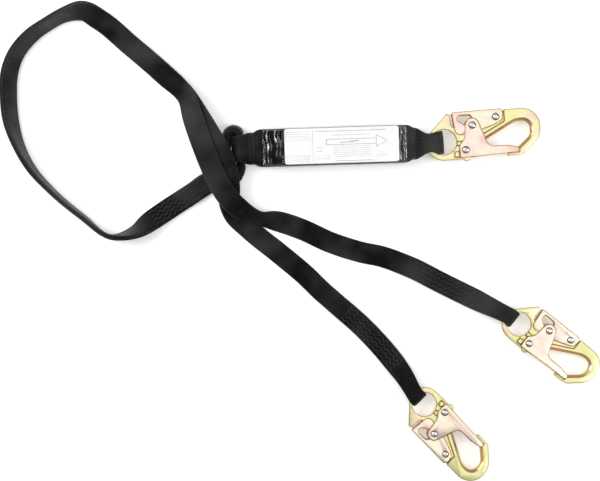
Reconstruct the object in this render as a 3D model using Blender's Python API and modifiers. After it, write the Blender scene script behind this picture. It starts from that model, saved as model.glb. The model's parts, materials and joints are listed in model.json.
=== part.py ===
"""Twin-leg shock absorbing lanyard, laid out flat, as separate solids.

Millimetres in the constants, metres in the scene, +Z up, floor at z = 0. The origin is the centre
of the energy absorber pack's underside. +X points along the pack to its harness hook.
Run with: blender --background --python part.py
"""

import math
from dataclasses import dataclass

import bmesh
import bpy
import numpy as np
from mathutils import Matrix, Vector

MM = 0.001
GAP = 0.3  # clearance between neighbouring pieces
ARC_STEP = math.radians(11)  # largest turn between two points of a rounded outline

# Webbing of the two legs
LEG_WIDTH = 25.4
LEG_THICKNESS = 2.8
LAYER_GAP = 0.4  # between stacked layers, and under the lowest one
PATH_PITCH = 13.0  # distance between the cross-sections of a strap
BUNCH_WIDTH = 11.6  # where the webbing folds lengthwise to pass the pack's loop
BUNCH_THICKNESS = 6.0
FLEX_AXIS_HEIGHT = LAYER_GAP + LEG_THICKNESS / 2

# Energy absorber pack
PACK_YAW = math.radians(1.8)
COVER_LENGTH = 169.0
COVER_WIDTH = 47.0
COVER_HEIGHT = 32.0
COVER_WALL = 0.7
TEAR_WEB_WIDTH = 43.5
TEAR_WEB_THICKNESS = 3.2
TEAR_WEB_PITCH = 3.7
TEAR_WEB_STRANDS = 3
BUNDLE_LEFT_END = -98.0
BUNDLE_RIGHT_END = 96.0
PACK_LOOP_HEIGHT = 15.8  # middle height of the two loops' layers inside the pack
PACK_LOOP_PITCH = 3.2  # between those two layers
LABEL_SIZE = (135.0, 42.0, 0.4)
LABEL_MIDDLE = 8.4  # how far the label sits towards the harness hook

# Loop at the pack's leg end, which the legs' webbing passes through
BIGHT_X = -112.0
BIGHT_HEIGHT = 11.2
LEG_LOOP_RADIUS = 9.3  # to the middle of its webbing
LEG_LOOP_WIDTH = 38.0
LEG_LOOP_SEWN_TO = -100.0
HARNESS_LOOP_SEWN_TO = 97.5
LOOP_TAILS = (66.0, 84.0)  # where both loops' sewn layers end and where they are clamped

# Snap hook, in its own frame: origin at the centre of the eye, +x to the bow, +y to the spine
EYE_RADIUS = 14.3
EYE_BAR_X = -15.5  # swing axis of the hook in its webbing
GATE_PIVOT = (23.2, -10.6)
LATCH_PIN = (32.5, 16.3)
LEVER_PIVOT = (59.5, 23.8)
SLOT_END = (20.0, 24.5)  # where the latch pin ends up when the lever is pressed
SLOT_SHOULDER = (29.0, 24.5)
WEB_HALF = 2.7  # half thickness of the body under the lever and the gate
BOW_HALF = 4.75
BOW_CHAMFER = 3.2  # round the bow's opening
LEVER_PLATES = (3.1, 4.7)
GATE_PLATES = (5.3, 6.8)
SHANK_RADIUS = 3.0
HOLE_RADIUS = 3.3
HEAD_RADIUS = 4.2
HEAD_HEIGHT = 1.8
BORE_SEGMENTS = 20
EYE_SEGMENTS = 40
GATE_SPRING_RADIUS = 4.4
GATE_SPRING_HEIGHTS = (3.55, 4.55)
GATE_SPRING_ENDS = (17.3, 42.0)  # along the hook
GATE_SPRING_WIRE = 0.42
LOCK_SPRING_X = 44.8
LOCK_SPRING_RADIUS = 1.8
LOCK_SPRING_ENDS = (19.4, 30.1)
LOCK_SPRING_TURNS = 4
LOCK_SPRING_WIRE = 0.4
COIL_STEPS = 8  # points of a coil's turn

# Where each hook's eye is, its heading and its size against the leg hooks
HOOKS = {
    "harness": {"eye": (130.6, 4.9), "heading": 4.5, "flipped": False, "scale": 1.065},
    "leg_a": {"eye": (220.1, -211.8), "heading": -39.0, "flipped": False, "scale": 1.0},
    "leg_b": {"eye": (107.4, -307.5), "heading": -45.4, "flipped": True, "scale": 1.0},
}
HOOK_HEIGHT = 10.1
HARNESS_HOOK_HEIGHT = 10.7
EYE_LOOP_RADIUS = 8.2  # of the leg webbing round the eye bar, to its middle
EYE_LOOP_WIDTHS = (LEG_WIDTH, 20.2, 20.2)  # before the bar, at the bar and at the fold
EYE_LOOP_RISE = 45.0  # length over which the two layers part before the bar
EYE_LOOP_CLIMB = 18.0  # length over which the upper layer climbs onto the lower one
EYE_LOOP_TAIL = 22.0  # where the lower layer's sewn tail ends, from the flex axis
HARNESS_LOOP_RADIUS = 8.9
HARNESS_LOOP_WIDTHS = (LEG_LOOP_WIDTH, 20.8, 26.0)
HARNESS_LOOP_RISE = 17.0
HARNESS_LOOP_REACH = 6.0  # its fold's distance beyond the bar
WRAP_SECTIONS = 11

# Zigzag stitching: rows, distance between rows, length of a stitch, width of the zigzag
THREAD_RADIUS = 0.4
YOKE_STITCHES = (3, 6.0, 6.0, 3.0)
EYE_STITCHES = (3, 6.0, 7.0, 3.0)
HARNESS_STITCHES = (5, 4.2, 4.5, 1.6)
YOKE_SEAM = ((-156.0, -47.0), (-214.0, -85.0))
HARNESS_SEAM = (98.5, 108.5)

COLOURS = {
    "zinc_plate": ((0.62, 0.52, 0.22, 1), 0.28, 1.0),
    "rivet_steel": ((0.55, 0.55, 0.58, 1), 0.2, 1.0),
    "spring_steel": ((0.35, 0.35, 0.36, 1), 0.3, 1.0),
    "webbing": ((0.012, 0.012, 0.013, 1), 0.8, 0.0),
    "thread": ((0.03, 0.03, 0.032, 1), 0.6, 0.0),
    "clear_cover": ((0.75, 0.78, 0.8, 1), 0.1, 0.0),
    "label_card": ((0.86, 0.86, 0.86, 1), 0.5, 0.0),
}


# ---- Scene and materials ----

def clear_scene():
    for obj in list(bpy.data.objects):
        bpy.data.objects.remove(obj, do_unlink=True)


def make_collection(name):
    collection = bpy.data.collections.new(name)
    bpy.context.scene.collection.children.link(collection)
    return collection


def make_material(name):
    colour, roughness, metallic = COLOURS[name]
    material = bpy.data.materials.new(name)
    material.use_nodes = True
    shader = material.node_tree.nodes["Principled BSDF"]
    shader.inputs["Base Color"].default_value = colour
    shader.inputs["Roughness"].default_value = roughness
    shader.inputs["Metallic"].default_value = metallic
    material.diffuse_color = colour
    return material


# ---- Flat outlines ----

def arc(centre, radius, start, end):
    """Points along an arc, from one angle to the other, both included."""
    steps = max(1, math.ceil(abs(end - start) / ARC_STEP))
    return [
        (centre[0] + radius * math.cos(angle), centre[1] + radius * math.sin(angle))
        for angle in np.linspace(start, end, steps + 1)
    ]


def rounded(corners):
    """A closed outline through corners (x, y, radius), each corner turned into an arc."""
    points = []
    for i, (x, y, radius) in enumerate(corners):
        here = Vector((x, y))
        back = (Vector(corners[i - 1][:2]) - here).normalized()
        ahead = (Vector(corners[(i + 1) % len(corners)][:2]) - here).normalized()
        if radius == 0:
            points.append((x, y))
            continue
        half = back.angle(ahead) / 2
        centre = here + (back + ahead).normalized() * (radius / math.sin(half))
        reach = radius / math.tan(half)
        start = here + back * reach - centre
        end = here + ahead * reach - centre
        first = math.atan2(start.y, start.x)
        turn = math.remainder(math.atan2(end.y, end.x) - first, math.tau)
        points += arc(centre, radius, first, first + turn)
    return points


def grown(corners, radius):
    """The outline of a convex, counter-clockwise list of points, grown outwards by radius."""
    points = []
    for i, corner in enumerate(corners):
        before = Vector(corner) - Vector(corners[i - 1])
        after = Vector(corners[(i + 1) % len(corners)]) - Vector(corner)
        first = math.atan2(before.y, before.x) - math.pi / 2
        last = math.atan2(after.y, after.x) - math.pi / 2
        points += arc(corner, radius, first, first + (last - first) % math.tau)
    return points


def circle(centre, radius, segments=BORE_SEGMENTS):
    return [
        (
            centre[0] + radius * math.cos(math.tau * i / segments),
            centre[1] + radius * math.sin(math.tau * i / segments),
        )
        for i in range(segments)
    ]


# ---- Solids ----

def link(obj):
    bpy.context.scene.collection.objects.link(obj)
    return obj


def mesh_from(obj):
    """The object's evaluated shape as a plain mesh object, which takes its place."""
    graph = bpy.context.evaluated_depsgraph_get()
    mesh = bpy.data.meshes.new_from_object(obj.evaluated_get(graph))
    shape = bmesh.new()
    shape.from_mesh(mesh)
    bmesh.ops.remove_doubles(shape, verts=shape.verts, dist=1e-6)
    bmesh.ops.recalc_face_normals(shape, faces=shape.faces)
    shape.to_mesh(mesh)
    shape.free()
    solid = link(bpy.data.objects.new(obj.name, mesh))
    solid.matrix_world = obj.matrix_world
    bpy.data.objects.remove(obj)
    return solid


def plate(outline, low, high, holes=()):
    """A flat plate between two heights with this outline and these holes."""
    curve = bpy.data.curves.new("plate", "CURVE")
    curve.dimensions = "2D"
    curve.fill_mode = "BOTH"
    curve.extrude = (high - low) / 2 * MM
    for points in (outline, *holes):
        spline = curve.splines.new("POLY")
        spline.points.add(len(points) - 1)
        for point, (x, y) in zip(spline.points, points):
            point.co = (x * MM, y * MM, 0, 1)
        spline.use_cyclic_u = True
    obj = link(bpy.data.objects.new("plate", curve))
    bpy.context.view_layer.update()
    solid = mesh_from(obj)
    solid.data.transform(Matrix.Translation((0, 0, (low + high) / 2 * MM)))
    return solid


def combine(solid, tool, operation):
    """The Boolean of two solids. The tool is used up."""
    modifier = solid.modifiers.new(operation.lower(), "BOOLEAN")
    modifier.operation = operation
    modifier.solver = "EXACT"
    modifier.object = tool
    bpy.context.view_layer.update()
    made = mesh_from(solid)
    bpy.data.objects.remove(tool)
    return made


def wire(points, radius, resolution):
    """A round wire through points, closed at both ends."""
    curve = bpy.data.curves.new("wire", "CURVE")
    curve.dimensions = "3D"
    curve.bevel_depth = radius * MM
    curve.bevel_resolution = resolution
    curve.use_fill_caps = True
    spline = curve.splines.new("POLY")
    spline.points.add(len(points) - 1)
    for point, place in zip(spline.points, points):
        point.co = (*(Vector(place) * MM), 1)
    obj = link(bpy.data.objects.new("wire", curve))
    bpy.context.view_layer.update()
    return mesh_from(obj)


def turned(profile, segments):
    """A turned solid round Z from a profile of (radius, height), running top to bottom."""
    mesh = bpy.data.meshes.new("profile")
    points = [(radius * MM, 0, height * MM) for radius, height in profile]
    mesh.from_pydata(points, [(i, i + 1) for i in range(len(points) - 1)], [])
    obj = link(bpy.data.objects.new("turned", mesh))
    screw = obj.modifiers.new("turn", "SCREW")
    screw.steps = segments
    screw.render_steps = segments
    screw.use_merge_vertices = True
    screw.merge_threshold = 1e-6
    bpy.context.view_layer.update()
    return mesh_from(obj)


# ---- Snap hook pieces, each in the hook's frame ----

def hook_body():
    """Forged body: a thin web with the eye and thumb horn, and a thick bow that ends in the nose."""
    web = rounded([
        (-20.2, -20.6, 20), (-20.2, 5.4, 14), (5.2, 31.4, 1.6), (9.0, 29.6, 1.2), (9.2, 17.5, 2),
        (16.5, 12.2, 3), (38.0, 12.2, 3), (42.0, 18.6, 1), (47.6, 18.6, 0.8), (51.0, 28.4, 2),
        (60.0, 29.4, 0), (75.0, 29.6, 0), (75.0, 18.6, 0), (47.6, 2.6, 0), (28.5, -20.2, 1),
        (25.8, -22.9, 1.2), (22.6, -22.9, 1.2), (20.0, -20.6, 1.5),
    ])
    bores = [
        circle((0, 0), EYE_RADIUS, EYE_SEGMENTS),
        circle(GATE_PIVOT, HOLE_RADIUS),
        circle(LEVER_PIVOT, HOLE_RADIUS),
    ]
    body = plate(web, -WEB_HALF, WEB_HALF, bores)
    body = combine(body, bow(), "UNION")
    lever_stop = plate([(14, -5.3), (20, -5.3), (20, -0.6), (14, -0.6)], -4.6, 4.6)
    gate_stop = plate([(10.8, -18), (16, -18), (16, -12), (10.8, -12)], -6.4, 6.4)
    body = combine(body, lever_stop, "UNION")
    return combine(body, gate_stop, "UNION")


BOW_CORNERS = [
    (69.0, 31.2, 0.8), (108.3, 31.2, 20), (108.3, -1.0, 20), (87.5, -20.2, 7),
    (70.2, -20.9, 1.2), (70.2, -17.9, 0.8), (83.2, -17.9, 0.5), (82.8, -11.0, 0.6),
    (96.9, 0.8, 11), (97.4, 17.4, 8.5), (81.8, 17.4, 20), (47.2, -0.4, 1),
    (43.9, 5.5, 1), (69.0, 18.0, 1.5),
]
BOW_INSIDE = range(7, 11)  # the corners at the start of each side that faces the bow's opening


def bow_outline(chamfer):
    """The bow's outline, with the sides round its opening moved into the metal by chamfer."""
    sides = []
    for i, corner in enumerate(BOW_CORNERS):
        start = Vector(corner[:2])
        along = (Vector(BOW_CORNERS[(i + 1) % len(BOW_CORNERS)][:2]) - start).normalized()
        inward = Vector((along.y, -along.x))
        sides.append((start + inward * chamfer if i in BOW_INSIDE else start, along))
    corners = []
    for i, (start, along) in enumerate(sides):
        before, last_along = sides[i - 1]
        reach = (start - before).cross(along) / last_along.cross(along)
        meet = before + last_along * reach
        grown_by = chamfer if i in BOW_INSIDE and i - 1 in BOW_INSIDE else 0
        corners.append((meet.x, meet.y, BOW_CORNERS[i][2] + grown_by))
    return rounded(corners)


def bow():
    """The thick bow and nose, chamfered all round the opening on both faces."""
    layers = [
        (bow_outline(chamfer), height)
        for chamfer, height in (
            (BOW_CHAMFER, -BOW_HALF), (0, BOW_CHAMFER - BOW_HALF),
            (0, BOW_HALF - BOW_CHAMFER), (BOW_CHAMFER, BOW_HALF),
        )
    ]
    shape = bmesh.new()
    rings = [
        [shape.verts.new((x * MM, y * MM, height * MM)) for x, y in outline]
        for outline, height in layers
    ]
    for ring, above in zip(rings, rings[1:]):
        for i in range(len(ring)):
            j = (i + 1) % len(ring)
            shape.faces.new((ring[i], ring[j], above[j], above[i]))
    shape.faces.new(rings[0][::-1])
    shape.faces.new(rings[-1])
    bmesh.ops.recalc_face_normals(shape, faces=shape.faces)
    mesh = bpy.data.meshes.new("bow")
    shape.to_mesh(mesh)
    shape.free()
    return link(bpy.data.objects.new("bow", mesh))


def channel(outline, holes, plates, inside):
    """A folded U-channel: two plates joined only where the inside cutter leaves metal."""
    solid = plate(outline, -plates[1], plates[1], holes)
    return combine(solid, plate(inside, -plates[0], plates[0]), "DIFFERENCE")


def hook_gate():
    outline = rounded([
        (25.4, 24.4, 8.0), (38.2, 24.4, 8.0), (49.4, -8.6, 9), (69.4, -8.6, 12),
        (82.8, -11.8, 0.8), (84.0, -16.9, 0.8), (16.5, -19.7, 1.5), (16.6, -4.4, 3),
        (22.4, 1.0, 10),
    ])
    holes = [circle(GATE_PIVOT, HOLE_RADIUS), circle(LATCH_PIN, HOLE_RADIUS)]
    inside = [
        (5, 40), (5, -30), (34, -30), (34, -17.4), (81.8, -15.5), (81.8, -30), (95, -30), (95, 40),
    ]
    return channel(outline, holes, GATE_PLATES, inside)


def hook_lock_lever():
    outline = rounded([
        (10.6, 32.2, 1.2), (65.9, 32.6, 2.0), (68.2, 28.1, 2.5), (66.8, 19.4, 4),
        (55.7, 14.8, 12), (43.3, 10.7, 10), (13.2, 5.2, 6.5),
    ])
    slot = grown([LATCH_PIN, SLOT_SHOULDER, SLOT_END], SHANK_RADIUS + 0.6)
    inside = [(0, 30.6), (0, -5), (90, -5), (90, 31.1)]
    return channel(outline, [slot, circle(LEVER_PIVOT, HOLE_RADIUS)], LEVER_PLATES, inside)


def rivet(under_head):
    """A domed rivet through the hook, whose two heads start at this height either side."""
    top = under_head + GAP
    half = [
        (0, top + HEAD_HEIGHT), (1.8, top + HEAD_HEIGHT * 0.88), (3.3, top + HEAD_HEIGHT * 0.55),
        (HEAD_RADIUS, top + 0.3), (HEAD_RADIUS, top), (SHANK_RADIUS, top),
    ]
    return turned(half + [(radius, -height) for radius, height in reversed(half)], BORE_SEGMENTS)


def gate_spring():
    """One-turn torsion spring round the gate's rivet, in the gap beside the web."""
    low, high = GATE_SPRING_HEIGHTS
    x, y = GATE_PIVOT
    steps = COIL_STEPS * 2
    points = [(GATE_SPRING_ENDS[0], y - GATE_SPRING_RADIUS, low)]
    for i in range(steps + 1):
        angle = math.tau * i / steps - math.pi / 2
        height = low + (high - low) * i / steps
        reach = GATE_SPRING_RADIUS * math.cos(angle)
        points.append((x + reach, y + GATE_SPRING_RADIUS * math.sin(angle), height))
    points.append((GATE_SPRING_ENDS[1], y - GATE_SPRING_RADIUS * 1.2, high))
    return wire(points, GATE_SPRING_WIRE, 1)


def lock_spring():
    """Compression spring between the body's seat and the lever's spine."""
    low, high = LOCK_SPRING_ENDS
    steps = LOCK_SPRING_TURNS * COIL_STEPS
    points = []
    for i in range(steps + 1):
        angle = math.tau * i / COIL_STEPS
        along = low + (high - low) * i / steps
        across = LOCK_SPRING_X + LOCK_SPRING_RADIUS * math.cos(angle)
        points.append((across, along, LOCK_SPRING_RADIUS * math.sin(angle)))
    return wire(points, LOCK_SPRING_WIRE, 1)


# ---- Webbing ----

@dataclass
class Way:
    """A waypoint of a strap in plan. roll stands it on edge, lift raises it off the floor."""
    x: float
    y: float
    roll: float = 0.0
    lift: float = 0.0
    bunch: float = 0.0
    layer: float = 0.0


@dataclass
class Section:
    """One cross-section of a strap: its middle, the direction of its width, and its size."""
    centre: Vector
    across: Vector
    width: float = LEG_WIDTH
    thickness: float = LEG_THICKNESS


def smooth(waypoints, pitch=PATH_PITCH):
    """Rows of a smooth curve through rows of numbers whose first two are x and y."""
    rows = np.array(waypoints, float)
    steps = np.linalg.norm(np.diff(rows[:, :2], axis=0), axis=1)
    walked = np.concatenate([[0], np.cumsum(steps)])
    slopes = np.gradient(rows, walked, axis=0)
    made = []
    for i, length in enumerate(steps):
        count = max(1, round(length / pitch))
        for t in np.arange(count) / count:
            made.append(
                (2 * t**3 - 3 * t**2 + 1) * rows[i]
                + (t**3 - 2 * t**2 + t) * length * slopes[i]
                + (3 * t**2 - 2 * t**3) * rows[i + 1]
                + (t**3 - t**2) * length * slopes[i + 1]
            )
    made.append(rows[-1])
    return np.array(made)


def strap_sections(waypoints):
    """Cross-sections of a strap that rests on the floor, or is lifted over what lies there."""
    rows = smooth([(w.x, w.y, w.roll, w.lift, w.bunch, w.layer) for w in waypoints])
    headings = np.gradient(rows[:, :2], axis=0)
    sections = []
    asides = []
    for (x, y, roll, lift, bunch, layer), heading in zip(rows, headings):
        left = Vector((-heading[1], heading[0], 0)).normalized()
        angle = math.radians(roll)
        across = left * math.cos(angle) + Vector((0, 0, 1)) * math.sin(angle)
        width = LEG_WIDTH + (BUNCH_WIDTH - LEG_WIDTH) * bunch
        thickness = LEG_THICKNESS + (BUNCH_THICKNESS - LEG_THICKNESS) * bunch
        aside = (LEG_THICKNESS + LAYER_GAP) / 2 * layer
        stack = thickness / 2 + abs(aside)
        rest = width / 2 * math.sin(angle) + stack * math.cos(angle) + LAYER_GAP
        sections.append(Section(Vector((x, y, rest + lift)), across, width, thickness))
        asides.append(aside)
    normals = [normal_at(sections, i) for i in range(len(sections))]
    for section, normal, aside in zip(sections, normals, asides):
        section.centre += normal * aside
    return sections


def normal_at(sections, i):
    """The direction a strap's upper face looks in at one of its cross-sections."""
    before = sections[max(i - 1, 0)].centre
    after = sections[min(i + 1, len(sections) - 1)].centre
    return (after - before).cross(sections[i].across).normalized()


def webbing(sections):
    """A strap lofted through its cross-sections, closed at both ends.

    Its wide faces are split round their middles, so that stacked straps twist alike.
    """
    shape = bmesh.new()
    rings = []
    for i, section in enumerate(sections):
        across = section.across * section.width / 2
        up = normal_at(sections, i) * section.thickness / 2
        corners = (across + up, up - across, -across - up, across - up)
        rings.append([shape.verts.new((section.centre + corner) * MM) for corner in corners])
    for ring, following in zip(rings, rings[1:]):
        for i in range(4):
            j = (i + 1) % 4
            corners = (ring[i], ring[j], following[j], following[i])
            if i % 2:
                shape.faces.new(corners)
                continue
            middle = shape.verts.new(sum((v.co for v in corners), Vector()) / 4)
            for first, second in zip(corners, corners[1:] + corners[:1]):
                shape.faces.new((first, second, middle))
    shape.faces.new(rings[0][::-1])
    shape.faces.new(rings[-1])
    bmesh.ops.recalc_face_normals(shape, faces=shape.faces)
    mesh = bpy.data.meshes.new("webbing")
    shape.to_mesh(mesh)
    shape.free()
    return link(bpy.data.objects.new("webbing", mesh))


# ---- Routes of the straps, in plan ----

def heading_vector(degrees):
    return Vector((math.cos(math.radians(degrees)), math.sin(math.radians(degrees)), 0))


def in_pack(x, y, z=0.0):
    """A point of the pack's own frame, which is turned a little about the origin."""
    return Matrix.Rotation(PACK_YAW, 3, "Z") @ Vector((x, y, z))


def bight_way(x, y, roll=90.0, lift=5.0, bunch=1.0):
    place = in_pack(x, y)
    return Way(place.x, place.y, roll, lift, bunch)


# Both legs share this route: sewn flat at the start, on edge round the big loop, flat again
SHARED_ROUTE = [
    Way(-148.8, -42.0), Way(-170.4, -56.4), Way(-194.4, -72.0), Way(-217.2, -87.6, 15),
    Way(-240.0, -103.0, 60), Way(-265.2, -108.0, 88), Way(-300.0, -84.0, 88),
    Way(-338.4, -51.6, 86), Way(-360.0, -27.6, 82), Way(-376.0, 1.2, 75), Way(-385.0, 30.0, 62),
    Way(-388.0, 60.0, 58), Way(-387.0, 86.4, 58), Way(-380.5, 106.8, 62), Way(-362.0, 130.8, 66),
    Way(-340.8, 146.0, 70), Way(-317.5, 158.0, 62), Way(-299.0, 161.5, 35),
    Way(-280.8, 152.0, 5), Way(-243.6, 121.2, 0, 0.5), Way(-203.4, 86.4, 8, 4),
    Way(-174.5, 57.6, 28, 11),
]
LEG_A_ROUTE = [
    Way(-167.5, 33.6, 12, 24), Way(-159.6, 10.8, 0, 26.6), Way(-147.6, -20.4, 0, 26.6),
    Way(-137.4, -43.2, 0, 26), Way(-125.5, -61.5, 0, 22.5), Way(-115.2, -72.0, 10, 17),
    Way(-101.5, -81.0, 35, 8), Way(-88.0, -86.0, 50, 1.5), Way(-67.2, -89.4, 15),
    Way(-39.6, -98.4), Way(-5.4, -114.0), Way(32.4, -126.2),
]
LEG_B_ROUTE = [
    Way(-160.0, 34.8, 10, 20.5), Way(-146.4, 12.0, 0, 22.6), Way(-133.2, -12.0, 0, 23.2),
    Way(-126.5, -30.0, 0, 22), Way(-124.5, -51.6, 0, 15), Way(-125.0, -66.0, 0, 9),
    Way(-120.0, -80.0, 0, 4), Way(-103.2, -97.2), Way(-64.8, -128.4), Way(-34.8, -153.5),
]
BIGHT_MIDDLE = bight_way(BIGHT_X, 0)
BIGHT_OVER = [
    bight_way(BIGHT_X, 14), bight_way(-113.6, 21.8), bight_way(-119.5, 25.4),
    bight_way(-125.9, 21.8), bight_way(-127.6, 12), bight_way(-128.4, -6),
    bight_way(-131.0, -20, 70, 5.2, 0.8), bight_way(-138.0, -31.0, 30, 4.0, 0.35),
]
BIGHT_UNDER = [
    bight_way(BIGHT_X, -14), bight_way(-113.0, -21.5), bight_way(-118.0, -28.0, 75, 3.5, 0.8),
    bight_way(-130.0, -35.0, 20, 0.3, 0.2),
]

# Where each leg may flex just before its sewn eye, and the route from there to the eye bar
LEG_EYES = {
    "leg_a": {"flex": (69.6, -135.4), "heading": -18.0,
              "route": [(96.0, -146.2), (124.8, -161.0), (182.4, -189.4)]},
    "leg_b": {"flex": (-4.8, -181.6), "heading": -41.0,
              "route": [(38.4, -220.0), (70.8, -256.5), (84.0, -274.5)]},
}


def flex_end(leg):
    """The last waypoints of a leg, which stop short of its flex axis."""
    along = heading_vector(LEG_EYES[leg]["heading"])
    axis = Vector((*LEG_EYES[leg]["flex"], 0))
    last = axis - along * (LEG_THICKNESS / 2 + GAP + 0.1)
    before = last - along * 10
    return [Way(before.x, before.y), Way(last.x, last.y)]


def leg_sections(bight, own_route, leg, layer):
    shared = [Way(w.x, w.y, w.roll, w.lift, 0, layer) for w in SHARED_ROUTE]
    return strap_sections([BIGHT_MIDDLE, *bight, *shared, *own_route, *flex_end(leg)])


def smoothstep(t):
    t = min(max(t, 0.0), 1.0)
    return t * t * (3 - 2 * t)


def bar_point(hook):
    """The eye bar's middle, on the hook's swing axis."""
    place = HOOKS[hook]
    height = HARNESS_HOOK_HEIGHT if hook == "harness" else HOOK_HEIGHT
    along = heading_vector(place["heading"])
    return Vector((*place["eye"], height)) + along * EYE_BAR_X * place["scale"]


def eye_sections(hook, plan, heights, rise, widths, radius, reach=0.0):
    """A strap out to the hook's eye, round its bar and back under itself.

    heights are those of the upper and lower layer before they part, rise is the length over which
    they part, and widths are before the bar, at the bar and at the fold.
    """
    bar = bar_point(hook)
    along = heading_vector(HOOKS[hook]["heading"])
    side = Vector((-along.y, along.x, 0))
    rows = smooth([*plan, (bar.x, bar.y)], 9.0)
    headings = np.gradient(rows, axis=0)
    left = np.linalg.norm(np.diff(rows, axis=0), axis=1)
    to_go = np.concatenate([np.cumsum(left[::-1])[::-1], [0]])
    upper, lower = [], []
    for (x, y), heading, distance in zip(rows, headings, to_go):
        square = Vector((-heading[1], heading[0], 0)).normalized()
        across = square.lerp(side, smoothstep(1 - distance / 30)).normalized()
        part = smoothstep(1 - distance / rise)
        width = widths[0] + (widths[1] - widths[0]) * smoothstep(1.1 - distance / rise)
        top = heights[0] + (bar.z + radius - heights[0]) * part
        bottom = heights[1] + (bar.z - radius - heights[1]) * part
        upper.append(Section(Vector((x, y, top)), across, width))
        lower.append(Section(Vector((x, y, bottom)), across, width))
    wrap = []
    for angle in np.linspace(math.pi / 2, -math.pi / 2, WRAP_SECTIONS):
        share = math.cos(angle)
        if reach == 0 and share < 0.01:
            continue
        width = widths[1] + (widths[2] - widths[1]) * (0.4 + 0.6 * share)
        offset = along * (reach + radius * share) + Vector((0, 0, radius * math.sin(angle)))
        wrap.append(Section(bar + offset, side, width))
    return upper, wrap, lower[::-1]


def leg_eye_sections(leg):
    """The leg's last stretch: a single layer from the flex axis, then two layers sewn together."""
    details = LEG_EYES[leg]
    start = Vector((*details["flex"], FLEX_AXIS_HEIGHT))
    along = heading_vector(details["heading"])
    side = Vector((-along.y, along.x, 0))
    half = LEG_THICKNESS / 2
    plan = [details["flex"], *details["route"]]
    double = LEG_THICKNESS + LAYER_GAP
    heights = (FLEX_AXIS_HEIGHT + double, FLEX_AXIS_HEIGHT)
    upper, wrap, lower = eye_sections(
        leg, plan, heights, EYE_LOOP_RISE, EYE_LOOP_WIDTHS, EYE_LOOP_RADIUS
    )
    for section in upper:
        climb = (section.centre.xy - start.xy).length / EYE_LOOP_CLIMB
        section.centre.z -= double * (1 - smoothstep(climb))
    rounded_end = [
        Section(start - along * half * math.cos(angle), side, LEG_WIDTH, 2 * half * math.sin(angle))
        for angle in (0.3, 0.7, 1.1)
    ]
    tail = [s for s in lower if (s.centre.xy - start.xy).length > EYE_LOOP_TAIL]
    return rounded_end + upper, wrap, tail


# ---- Pack pieces, in the pack's frame ----

def turned_to_pack(obj):
    obj.data.transform(Matrix.Rotation(PACK_YAW, 4, "Z"))
    return obj


def rounded_box_outline(width, height, radius):
    x, y = width / 2, height / 2
    return rounded([(-x, -y, radius), (x, -y, radius), (x, y, radius), (-x, y, radius)])


def shrink_cover():
    """The clear sleeve shrunk round the folded webbing, open at both ends."""
    outer = rounded_box_outline(COVER_HEIGHT, COVER_WIDTH, 3.0)
    inner = rounded_box_outline(COVER_HEIGHT - 2 * COVER_WALL, COVER_WIDTH - 2 * COVER_WALL, 2.3)
    sleeve = plate(outer, -COVER_LENGTH / 2, COVER_LENGTH / 2, [inner])
    sleeve.data.transform(Matrix.Rotation(math.pi / 2, 4, "Y"))
    sleeve.data.transform(Matrix.Translation((0, 0, COVER_HEIGHT / 2 * MM)))
    return turned_to_pack(sleeve)


def label_card():
    length, width, thickness = LABEL_SIZE
    top = COVER_HEIGHT - COVER_WALL - GAP
    card = plate(rounded_box_outline(length, width, 3), top - thickness, top)
    card.data.transform(Matrix.Translation((LABEL_MIDDLE * MM, 0, 0)))
    return turned_to_pack(card)


def folded_web(lowest):
    """One accordion-folded webbing of the energy absorber, as strands joined by U-turns."""
    turn = TEAR_WEB_PITCH / 2
    edge = turn + TEAR_WEB_THICKNESS / 2
    ends = (BUNDLE_LEFT_END + edge, BUNDLE_RIGHT_END - edge)
    across = Vector((0, 1, 0))
    sections = []
    for strand in range(TEAR_WEB_STRANDS):
        height = lowest + TEAR_WEB_THICKNESS / 2 + strand * TEAR_WEB_PITCH
        first, last = ends if strand % 2 else ends[::-1]
        outward = 1 if last > first else -1
        for x in (first, (first + last) / 2, last):
            sections.append(Vector((x, 0, height)))
        if strand + 1 < TEAR_WEB_STRANDS:
            for angle in (-45, 0, 45):
                sweep = math.radians(angle)
                x = last + outward * turn * math.cos(sweep)
                sections.append(Vector((x, 0, height + turn + turn * math.sin(sweep))))
    made = [Section(place, across, TEAR_WEB_WIDTH, TEAR_WEB_THICKNESS) for place in sections]
    return turned_to_pack(webbing(made))


def leg_loop():
    """The pack's loop for the legs: sewn in between the folded webs at both of its ends."""
    across = Vector((0, 1, 0))
    upper = PACK_LOOP_HEIGHT + PACK_LOOP_PITCH / 2
    lower = PACK_LOOP_HEIGHT - PACK_LOOP_PITCH / 2
    sewn = [-x for x in LOOP_TAILS]
    out, below = LEG_LOOP_SEWN_TO, LEG_LOOP_SEWN_TO + 2
    places = [Vector((x, 0, upper)) for x in (*sewn, out)]
    for t in (0.25, 0.5, 0.75):
        height = upper + (BIGHT_HEIGHT + LEG_LOOP_RADIUS - upper) * smoothstep(t)
        places.append(Vector((out + (BIGHT_X - out) * t, 0, height)))
    for angle in np.linspace(math.pi / 2, 3 * math.pi / 2, WRAP_SECTIONS):
        x = BIGHT_X + LEG_LOOP_RADIUS * math.cos(angle)
        places.append(Vector((x, 0, BIGHT_HEIGHT + LEG_LOOP_RADIUS * math.sin(angle))))
    for t in (0.8, 0.65, 0.5, 0.35, 0.2, 0):
        height = lower + (BIGHT_HEIGHT - LEG_LOOP_RADIUS - lower) * smoothstep(t)
        places.append(Vector((below + (BIGHT_X - below) * t, 0, height)))
    places += [Vector((x, 0, lower)) for x in sewn[::-1]]
    return turned_to_pack(webbing([Section(place, across, LEG_LOOP_WIDTH) for place in places]))


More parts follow.
